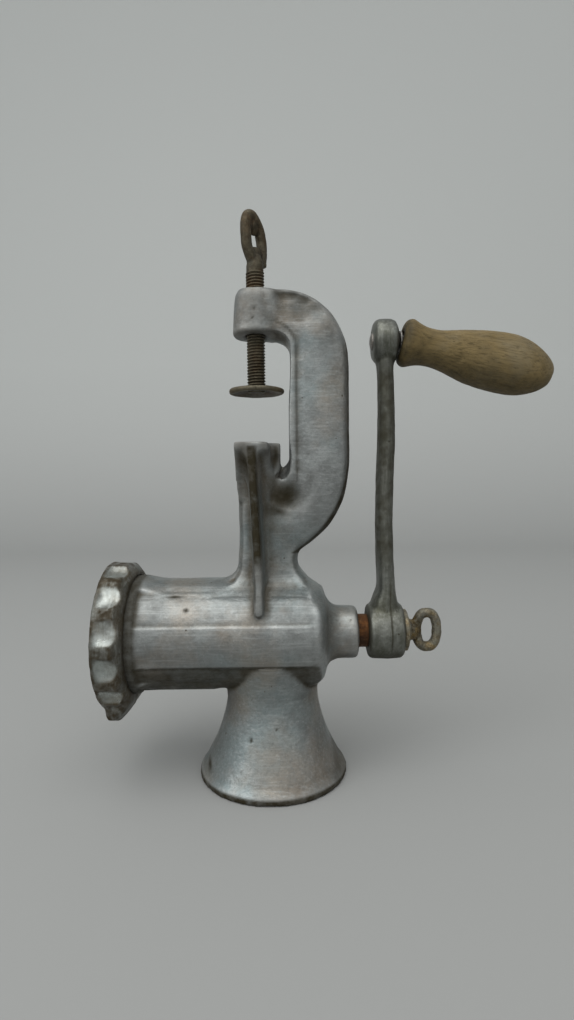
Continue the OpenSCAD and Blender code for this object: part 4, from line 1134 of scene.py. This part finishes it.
def paintRingNut(mesh, size):       # the scallops are painted bright, a painted highlight; dirt stays on the lands between them
    points = getPoints(mesh)
    x, y, z = points[:, 0] / mm, points[:, 1] / mm, (points[:, 2] - barrelLine.translation.z) / mm
    depth = scallopDepth(np.arctan2(z, -y), x, size)
    patches = lumps(points, 3.5 * mm, 3)
    outside = smoothStep(np.hypot(y, z), 33, 34)
    bright = smoothStep(depth, 0.3, 1.3) * outside
    setMask(mesh, "ridge", bright * (0.5 + 0.25 * smoothStep(patches, -0.4, 0.4)))
    land = (1 - smoothStep(depth, 0.0, 0.7)) * 0.62
    collar = smoothStep(x, -71, -69.3) * 0.35
    setMask(mesh, "hollow", np.maximum(land, collar))
    film = (1 - smoothStep(depth, 0.0, 0.6)) * smoothStep(patches, -0.35, 0.4) * 0.85
    film *= smoothStep(x, -70.0, -73.0)
    rims = np.maximum(0.7 * smoothStep(x, -69.6, -69.0), smoothStep(x, -82.2, -83.3) * smoothStep(patches, -0.5, 0.1))
    setMask(mesh, "stain", np.maximum(film, rims * 0.85))


makeRingNut(ringNut)
print("ring nut made")


# Crank arm
crankArm = {
    "voxel": 0.5 * mm,
    "fillet": 60,
    "rounding": 5,
    "lumpSize": 9 * mm,
    "lumpDepth": 0.18 * mm,
    "hubMiddle": -11.7 * mm,        # from the thumb washer's outer face
    "headMiddle": -7.2 * mm,        # from the head's outer face
    # height above the shaft, half thickness, half width, sideways bow, in millimetres
    "sections": ((8, 7.6, 9.4, -0.2), (16.5, 6.6, 8.8, 0.0), (18.9, 5.5, 8.6, 0.4), (20.4, 4.65, 8.4, 0.85),
                 (22, 4.5, 8.3, 0.92), (24, 4.4, 8.2, 0.9), (32, 4.3, 8.1, 0.42),
                 (43, 4.25, 7.9, -0.15), (58, 4.2, 7.6, -0.28), (74, 4.2, 7.3, -0.1), (84, 4.3, 7.2, 0.32),
                 (95, 4.3, 7.0, 0.62), (105, 4.2, 6.9, 0.76), (115, 4.0, 6.8, 0.7), (125, 3.9, 6.6, 0.46),
                 (135, 4.0, 6.6, 0.04), (142, 4.6, 7.4, 0.0)),
    "squareness": 2.7,      # 2 is an ellipse
    "partingRidge": 0.5,
    "hub": ((-8.9, 0.01), (-8.9, 12.3), (-8.4, 13.5), (-6.9, 14.3), (0.6, 14.5), (1.2, 14.65), (1.8, 14.5),
            (7.8, 14.25), (9.1, 12.9), (9.1, 0.01)),
    "head": ((-6.2, 0.01), (-6.5, 6.2), (-6.2, 8.6), (-5.0, 10.2), (-3.0, 11.1), (2.6, 11.1), (4.7, 10.3), (5.8, 8.4),
             (6.2, 6.6), (6.2, 0.01)),
    "square": 11.7,
}


def makeCrankArm(size):
    hubMiddle = joints["thumb_screw_turn"]["pos_m"][0] + size["hubMiddle"]
    headMiddle = joints["grip_spin"]["pos_m"][0] + size["headMiddle"]
    headHeight = joints["grip_spin"]["pos_m"][2]
    hub = placed(skinMesh("hub", latheRings(denser(size["hub"], 1.0), 96)),
                 Matrix.Translation((hubMiddle, 0, barrelLine.translation.z)))
    head = placed(skinMesh("head", latheRings(denser(size["head"], 1.0), 80)),
                  Matrix.Translation((headMiddle, 0, headHeight)))
    sections = np.array(size["sections"], float)
    heights = np.linspace(sections[0, 0], sections[-1, 0], 120)
    thick, wide, bow = (np.interp(heights, sections[:, 0], sections[:, k]) for k in (1, 2, 3))
    thick, wide, bow = (relax(v[:, None], np.array([(i, i + 1) for i in range(119)]), 8)[:, 0] for v in (thick, wide, bow))
    turn = np.linspace(0, 2 * math.pi, 72, endpoint=False)
    power = 2 / size["squareness"]
    across = np.sign(np.cos(turn)) * np.abs(np.cos(turn)) ** power
    deep = np.sign(np.sin(turn)) * np.abs(np.sin(turn)) ** power
    x = thick[:, None] * across
    ridge = size["partingRidge"] * np.exp(-(x / 0.7) ** 2) * np.sign(deep)
    share = (heights - heights[0]) / (heights[-1] - heights[0])
    centre = hubMiddle / mm + (headMiddle - hubMiddle) / mm * share + bow
    rings = np.stack([x + centre[:, None], wide[:, None] * deep + ridge,
                      (heights[:, None] + barrelLine.translation.z / mm) * np.ones(72)], 2) * mm
    arm = skinMesh("arm", rings)
    mesh = meltMesh("crankArm", [hub, head, arm], size["voxel"])
    castSkin(mesh, size)
    half = size["square"] / 2 * mm
    bore = bmesh.new()
    bmesh.ops.create_cube(bore, size=1.0)
    boreMesh = bpy.data.meshes.new("bore")
    bore.to_mesh(boreMesh)
    bore.free()
    placed(boreMesh, Matrix.Translation((hubMiddle, 0, barrelLine.translation.z)) @ Matrix.Diagonal(
        (30 * mm, 2 * half, 2 * half, 1)))
    piece = addPiece("crankArm", mesh, "drive", "arm_iron", "crank_arm")
    cutter = bpy.data.objects.new("bore", boreMesh)
    bpy.context.scene.collection.objects.link(cutter)
    cut = piece.modifiers.new("squareHole", "BOOLEAN")
    cut.object = cutter
    cut.solver = "EXACT"
    graph = bpy.context.evaluated_depsgraph_get()
    done = bpy.data.meshes.new_from_object(piece.evaluated_get(graph))
    piece.modifiers.clear()
    piece.data = done
    bpy.data.objects.remove(cutter)
    paintCrankArm(done, size, hubMiddle / mm)


def paintCrankArm(mesh, size, hubMiddle):
    points = getPoints(mesh)
    x, y, z = points[:, 0] / mm - hubMiddle, points[:, 1] / mm, (points[:, 2] - barrelLine.translation.z) / mm
    patches = smoothStep(lumps(points, 5 * mm, 3), -0.5, 0.5)
    away = np.hypot(y, z)
    hub = smoothStep(away, 18, 16) * (z < 17)
    # painted shade: the hub darker towards its bottom; also darker at its two flat faces
    film = hub * np.maximum(smoothStep(z, -4, -13) * 0.9, smoothStep(np.abs(x), 7.6, 8.7) * 0.7)
    parting = np.exp(-((x - 1.9) / 0.45) ** 2) * smoothStep(z, 32, 20) * smoothStep(z, -14, -6)
    film = np.maximum(film, 0.85 * parting * (away > 12))
    film = np.maximum(film, smoothStep(z, 22, 48) * smoothStep(z, 146, 128) * (0.42 + 0.36 * patches))
    film = np.maximum(film, smoothStep(away, 24, 17) * smoothStep(away, 14, 17) * patches * 0.3)
    setMask(mesh, "stain", film)
    # painted highlight on the front of the hub
    bright = hub * smoothStep(np.abs(z - 1), 12, 3) * smoothStep(np.abs(x + 0.5), 7.4, 5)
    addMask(mesh, "ridge", bright * (0.35 + 0.6 * patches) * (1 - parting))


makeCrankArm(crankArm)
print("crank arm made")


# Spindle and grip, both drawn along their own X
gripSpindle = {
    # the rivet and tail lie level in the head, the rod droops from the head's face
    "tail": ((-14.9, 0.01), (-14.75, 2.4), (-14.3, 4.0), (-13.5, 4.5), (-13.5, 2.8), (0, 2.8), (0, 5.1), (1.1, 5.1),
             (1.1, 0.01)),
    "rod": ((0.6, 0.01), (0.6, 3.45), (76.4, 3.45), (76.4, 4.6), (77.6, 4.5), (79.0, 3.4), (79.8, 1.6), (79.9, 0.01)),
}
woodenGrip = {
    # place along the spindle and radius, in millimetres: outside, then back along the bore
    "outside": ((0.9, 9.2), (1.5, 10.6), (3.1, 11.8), (4.6, 12.1), (6.4, 11.5), (8.3, 10.7), (10.4, 10.0), (13.0, 9.5),
                (16.5, 9.35), (20, 9.55), (24, 10.35), (28, 11.4), (32, 12.4), (36, 13.25), (40, 13.95), (44, 14.45),
                (48, 14.8), (52, 15.0), (56, 15.0), (60, 14.7), (64, 13.9), (68, 12.5), (71.4, 10.9), (74.2, 9.2),
                (76.5, 7.3), (77.6, 6.1)),
    "bore": ((77.4, 4.75), (76.2, 4.75), (76.2, 3.6), (3.2, 3.6), (3.2, 5.6), (0.9, 5.6)),
    "sides": 128,
    "oval": 0.012,
    # place along the spindle, and how far the belly hangs below it
    "hang": ((0, 0), (26, 0.1), (37, 0.5), (48, 0.45), (56, 0.5), (62, 0.8), (69, 1.2), (75, 1.4), (78.2, 1.4)),
    "dents": ((30, 205, 2.0, 0.5), (12, 250, 1.4, 0.4), (55, 160, 1.6, 0.35), (66, 230, 1.3, 0.4), (41, 285, 1.2, 0.35)),
}


def makeGripSpindle(size):
    level = Matrix.Translation(gripLine.translation)
    tail = placed(skinMesh("tail", latheRings(denser(size["tail"], 0.6), 40)), level)
    rod = placed(skinMesh("rod", latheRings(denser(size["rod"], 0.9), 40)), gripLine)
    mesh = joinMeshes("gripSpindle", [tail, rod])
    roughen(mesh, 4 * mm, 0.05 * mm)
    addPiece("gripSpindle", mesh, "drive", "pin_steel", "grip_spindle")


def makeWoodenGrip(size):
    outside = softPath(size["outside"], 2)
    outline = denser([tuple(p) for p in outside] + list(size["bore"]), 0.6)
    rings = latheRings(outline, size["sides"])
    turn = np.linspace(0, 2 * math.pi, size["sides"], endpoint=False)
    radius = np.hypot(rings[:, :, 1], rings[:, :, 2])
    outer = smoothStep(radius, 6.2 * mm, 7.2 * mm)
    swell = 1 + size["oval"] * np.cos(2 * turn + 0.6) * outer
    for along, angle, spread, depth in size["dents"]:
        gapAlong = (rings[:, :, 0] / mm - along) / spread
        gapRound = (turn - math.radians(angle) + math.pi) % (2 * math.pi) - math.pi
        dent = np.exp(-gapAlong ** 2 - (gapRound * radius / mm / spread) ** 2) * depth * mm
        swell -= dent / np.maximum(radius, mm) * outer
    rings[:, :, 1:] *= swell[:, :, None]
    outer = smoothStep(radius, 4.9 * mm, 6.2 * mm)
    rings[:, :, 2] -= np.interp(rings[:, :, 0] / mm, *np.array(size["hang"]).T) * outer * mm
    mesh = skinMesh("woodenGrip", rings, loop=True)
    roughen(mesh, 9 * mm, 0.1 * mm)
    points = getPoints(mesh)
    nearHead = smoothStep(points[:, 0], 8 * mm, 2 * mm) * 0.8
    # painted shade: faces of the grip that turn down are darkened
    below = smoothStep(-getNormals(mesh)[:, 2], -0.1, 1.0) * 0.7
    addMask(mesh, "hollow", np.maximum(nearHead, below))
    piece = bpy.data.objects.new("woodenGrip", mesh)
    piece.matrix_world = gripLine
    finishPiece(piece, "grip", "grip_wood", "wooden_grip")


makeGripSpindle(gripSpindle)
makeWoodenGrip(woodenGrip)
print("grip made")


# Clamp screw: threaded rod, and an eye bent from thinner rod with its free end lapped on the shank
clampScrew = {
    "radius": 4.68, "threadDepth": 0.66, "pitch": 1.5,      # the crests are worn
    "threadTop": 61.2,      # above the disc's underside
    "foot": ((0.35, 0.01), (0.35, 4.2), (0.8, 4.4), (0.8, 2.9), (2.6, 2.9), (2.6, 0.01)),
    "shank": ((59, 0.01), (59, 4.35), (63.5, 4.35), (66.0, 3.9), (68.6, 3.0), (69.6, 0.01)),
    # across the eye and above the disc's underside
    "eye": ((0, 60), (-0.4, 64), (-3.0, 68), (-5.4, 72), (-5.8, 77), (-6.0, 82.3), (-5.4, 86.0), (-3.4, 88.2),
            (-1.1, 87.3), (1.1, 85.4), (3.5, 81.9), (4.9, 77), (5.1, 71.5), (4.8, 67.5), (4.5, 64.4)),
    "eyeRod": 2.75,
    "turn": 47.0,
    # the lapped end and the crotch: middle across and above, then half width, thickness and height
    "laps": (((-1.0, 83.2), (4.3, 2.3, 4.9)), ((0.3, 69.7), (3.6, 2.5, 3.6))),
    "voxel": 0.38 * mm, "fillet": 8, "rounding": 2, "lumpSize": 4 * mm, "lumpDepth": 0.14 * mm,
}


def makeClampScrew(size):
    foot = clampPlace.z / mm
    line = Matrix.Translation((clampPlace.x, 0, clampPlace.z)) @ Matrix.Rotation(math.radians(-90), 4, "Y")
    rod = skinMesh("rod", threadRings(size["radius"], size["threadDepth"], size["pitch"], size["threadTop"] - 2.1))
    placed(rod, line @ Matrix.Translation((2.1 * mm, 0, 0)))
    roughen(rod, 2.5 * mm, 0.06 * mm)
    pin = placed(skinMesh("pin", latheRings(denser(size["foot"], 0.5), 40)), line)
    shank = placed(skinMesh("shank", latheRings(denser(size["shank"], 0.6), 48)), line)
    path = softPath(size["eye"])
    turn = math.radians(size["turn"])
    path = mm * np.stack([clampPlace.x / mm + path[:, 0] * math.cos(turn), path[:, 0] * math.sin(turn),
                          foot + path[:, 1]], 1)
    eye = skinMesh("eye", tubeRings(path, size["eyeRod"] * mm, 32))
    laps = []
    for (across, above), radii in size["laps"]:
        ball = [(-math.cos(t), max(math.sin(t), 0.01)) for t in np.linspace(0, math.pi, 17)]
        place = (clampPlace.x + across * math.cos(turn) * mm, across * math.sin(turn) * mm, (foot + above) * mm)
        laps.append(placed(skinMesh("lap", latheRings(ball, 32)), Matrix.Translation(place)
                           @ Matrix.Rotation(turn, 4, "Z") @ Matrix.Diagonal((*radii, 1))))
    bend = meltMesh("bend", [shank, eye] + laps, size["voxel"])
    castSkin(bend, size)
    mesh = joinMeshes("clampScrew", [rod, pin, bend])
    markWear(mesh, 5, 0.1 * mm)
    addPiece("clampScrew", mesh, "clamp_screw", "rusty_steel", "clamp_screw")


pressureDisc = {
    # height above the disc's underside and radius, round the whole section
    "outline": ((1.1, 3.1), (0.9, 5.5), (-0.3, 11.6), (-0.45, 12.8), (-0.15, 13.7), (0.8, 14.15), (1.75, 13.9),
                (2.3, 13.0), (2.25, 11.5), (2.0, 8), (2.1, 5.2), (2.0, 3.1)),
    "dishRounds": 2,
}


def makePressureDisc(size):
    outline = denser(list(size["outline"]) + [size["outline"][0]], 0.5)[:-1]
    mesh = skinMesh("pressureDisc", latheRings(outline, 96), loop=True)
    placed(mesh, Matrix.Translation((clampPlace.x, 0, clampPlace.z)) @ Matrix.Rotation(math.radians(-90), 4, "Y"))
    roughen(mesh, 5 * mm, 0.12 * mm, size["dishRounds"])
    addPiece("pressureDisc", mesh, "clamp_pad", "rusty_steel", "pressure_disc")


makeClampScrew(clampScrew)
makePressureDisc(pressureDisc)
print("clamp screw made")


# Thumb screw and its washer, along the shaft
thumbScrew = {
    "radius": 4.0, "threadDepth": 0.75, "pitch": 1.25,
    "thread": 24.0,     # length below the washer's face
    "collar": ((-0.6, 0.01), (-0.6, 4.0), (0, 4.2), (0, 6.1), (1.1, 6.2), (2.2, 5.3), (4.2, 4.6), (6.0, 3.4), (6.0, 0.01)),
    # along the shaft and across it, round the eye
    "eyeMiddle": 10.5, "eyeHalf": (5.25, 8.9), "eyeRod": 2.55, "squareness": 2.4,
    "voxel": 0.36 * mm, "fillet": 16, "rounding": 2, "lumpSize": 3 * mm, "lumpDepth": 0.2 * mm,
}
thumbWasher = {
    "outline": ((-2.58, 4.1), (-2.58, 10.1), (-2.3, 10.6), (-0.5, 10.75), (-0.1, 10.2), (-0.02, 9.4), (-0.02, 4.1)),
}


def makeThumbScrew(size):
    start = joints["thumb_screw_turn"]["pos_m"][0]
    line = barrelLine @ Matrix.Translation((start, 0, 0))
    rod = skinMesh("rod", threadRings(size["radius"], size["threadDepth"], size["pitch"], size["thread"], 48))
    placed(rod, line @ Matrix.Translation((-size["thread"] * mm, 0, 0)))
    collar = placed(skinMesh("collar", latheRings(denser(size["collar"], 0.5), 48)), line)
    turn = np.linspace(0, 2 * math.pi, 96, endpoint=False)
    power = 2 / size["squareness"]
    along, across = size["eyeHalf"]
    place = np.stack([size["eyeMiddle"] + along * np.sign(np.cos(turn)) * np.abs(np.cos(turn)) ** power,
                      np.zeros(96), across * np.sign(np.sin(turn)) * np.abs(np.sin(turn)) ** power], 1) * mm
    rings = tubeRings(np.vstack([place, place[:2]]), size["eyeRod"] * mm, 28)[1:-1]
    eye = placed(skinMesh("eye", rings, loop=True), line)
    head = meltMesh("head", [collar, eye], size["voxel"])
    castSkin(head, size)
    mesh = joinMeshes("thumbScrew", [rod, head])
    markWear(mesh, 5, 0.1 * mm)
    addPiece("thumbScrew", mesh, "thumb_screw", "worn_steel", "thumb_screw")


def makeThumbWasher(size):
    outline = denser(list(size["outline"]) + [size["outline"][0]], 0.4)[:-1]
    mesh = skinMesh("thumbWasher", latheRings(outline, 96), loop=True)
    placed(mesh, barrelLine @ Matrix.Translation((joints["thumb_screw_turn"]["pos_m"][0], 0, 0)))
    roughen(mesh, 3 * mm, 0.12 * mm, 1)
    addPiece("thumbWasher", mesh, "thumb_washer", "worn_steel", "thumb_washer")


makeThumbScrew(thumbScrew)
makeThumbWasher(thumbWasher)
print("thumb screw made")


# Pieces that keep the CAD form: only their finish and broken edges are added
keptNodes = {
    "plate_key_pin": ("pin_steel", 0.15), "hole_plate": ("plate_steel", 0.2), "feed_screw": ("screw_iron", 0.0),
    "knife_stud": ("pin_steel", 0.2), "cutter_knife": ("plate_steel", 0.2), "thrust_washer": ("thrust_brass", 0.2),
}


def finishKeptNode(name, finish, edge):
    piece = frame["nodes"][name]
    piece.data.materials.clear()
    piece.data.materials.append(finishes[finish])
    if edge:
        weld = piece.modifiers.new("weld", "WELD")
        weld.merge_threshold = 0.01 * mm
        bevel = piece.modifiers.new("brokenEdge", "BEVEL")
        bevel.width = edge * mm
        bevel.segments = 2
        bevel.limit_method = "ANGLE"
        bevel.angle_limit = math.radians(40)


for nodeName, (finishName, edgeWidth) in keptNodes.items():
    finishKeptNode(nodeName, finishName, edgeWidth)
print("kept nodes finished:", len(keptNodes))
